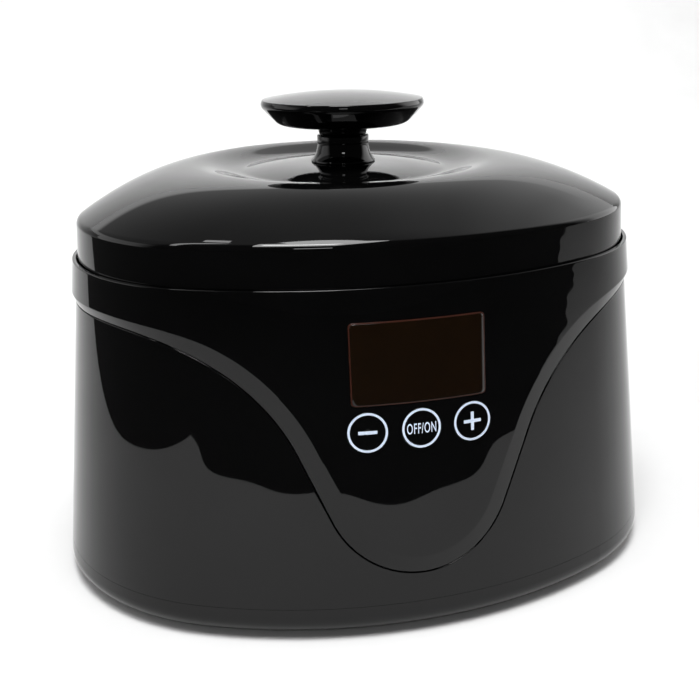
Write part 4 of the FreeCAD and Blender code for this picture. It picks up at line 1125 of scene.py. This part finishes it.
def studio_world():
    """Soft surround: a pale band low down behind, dim overhead and in front, brighter to the right."""
    world = bpy.data.worlds.new("studio")
    bpy.context.scene.world = world
    world.use_nodes = True
    tree = world.node_tree
    background = tree.nodes["Background"]
    background.inputs["Color"].default_value = (1, 1, 1, 1)
    direction = tree.nodes.new("ShaderNodeTexCoord")
    split = tree.nodes.new("ShaderNodeSeparateXYZ")
    tree.links.new(direction.outputs["Generated"], split.inputs["Vector"])

    def step(axis, low, high):
        node = tree.nodes.new("ShaderNodeMapRange")
        node.interpolation_type = "SMOOTHSTEP"
        node.inputs["From Min"].default_value = low
        node.inputs["From Max"].default_value = high
        tree.links.new(split.outputs[axis], node.inputs["Value"])
        return node.outputs["Result"]

    def mixed_by(operation, first, second):
        node = tree.nodes.new("ShaderNodeMath")
        node.operation = operation
        for socket, value in zip(node.inputs, (first, second)):
            if isinstance(value, float):
                socket.default_value = value
            else:
                tree.links.new(value, socket)
        return node.outputs["Value"]

    across = tree.nodes.new("ShaderNodeValToRGB")
    across.color_ramp.interpolation = "EASE"
    levels = across.color_ramp.elements
    for side, _ in SKY_LEVELS[1:-1]:
        levels.new((side + 1) / 2)
    levels[-1].position = (SKY_LEVELS[-1][0] + 1) / 2
    for level, (_, brightness) in zip(levels, SKY_LEVELS):
        level.color = (brightness, brightness, brightness, 1)
    half = mixed_by("ADD", mixed_by("MULTIPLY", split.outputs["X"], 0.5), 0.5)
    tree.links.new(half, across.inputs["Fac"])
    behind = step("Y", *BEHIND_FADE)
    sky = mixed_by("MULTIPLY", across.outputs["Color"], behind)
    horizon = mixed_by("MULTIPLY", mixed_by("MULTIPLY", behind, step("Z", *HORIZON_FADE)), HORIZON_LEVEL)
    strongest = mixed_by("MAXIMUM", mixed_by("MAXIMUM", sky, horizon), FRONT_LEVEL)
    tree.links.new(strongest, background.inputs["Strength"])


def build_lights():
    """Surround and area lights; places and sizes in metres, power in watts."""
    studio_world()
    softbox("overhead", at=(-0.13, -0.44, 1.25), towards=(-0.13, -0.44, 0),
            size=(0.5, 0.75), power=13.5, turn=-25)
    softbox("overhead_core", at=(-0.14, -0.36, 1.24), towards=(-0.14, -0.36, 0),
            size=(0.34, 0.16), power=4.5, turn=-25)
    softbox("overhead_left", at=(-0.8, -0.15, 1.25), towards=(-0.8, -0.15, 0),
            size=(1.2, 0.12), power=3, turn=34)
    softbox("front_spot", at=(-0.22, -0.95, 0.6), towards=(0, 0, 0.15), size=(0.2, 0.1), power=0.6)
    softbox("backdrop_wash", at=(0.5, 0.45, 1.2), towards=(0.5, 1.4, 0.9), size=(2.6, 0.5), power=34)


def build_camera():
    """Camera at the photograph's angle."""
    at, target = Vector(CAMERA_AT) * MM, Vector(CAMERA_TARGET) * MM
    back = (at - target).normalized()
    right = Vector((0, 0, 1)).cross(back).normalized()
    up = back.cross(right)
    turn = CAMERA_ROLL
    rolled_right = right * math.cos(turn) + up * math.sin(turn)
    rolled_up = up * math.cos(turn) - right * math.sin(turn)
    camera = bpy.data.objects.new("camera", bpy.data.cameras.new("camera"))
    camera.data.lens = CAMERA_LENS
    camera.data.sensor_width = 36.0
    camera.data.clip_start = 0.01
    rotation = Matrix((rolled_right, rolled_up, back)).transposed().to_4x4()
    camera.matrix_world = Matrix.Translation(at) @ rotation
    bpy.context.scene.collection.objects.link(camera)
    bpy.context.scene.camera = camera


MATERIALS = build_materials()
build_camera()
dress_nodes(MATERIALS)
build_pieces(MATERIALS)
pale_floor()
pale_wall()
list(dark_sheets())
build_lights()
bpy.context.scene.view_settings.view_transform = "Standard"
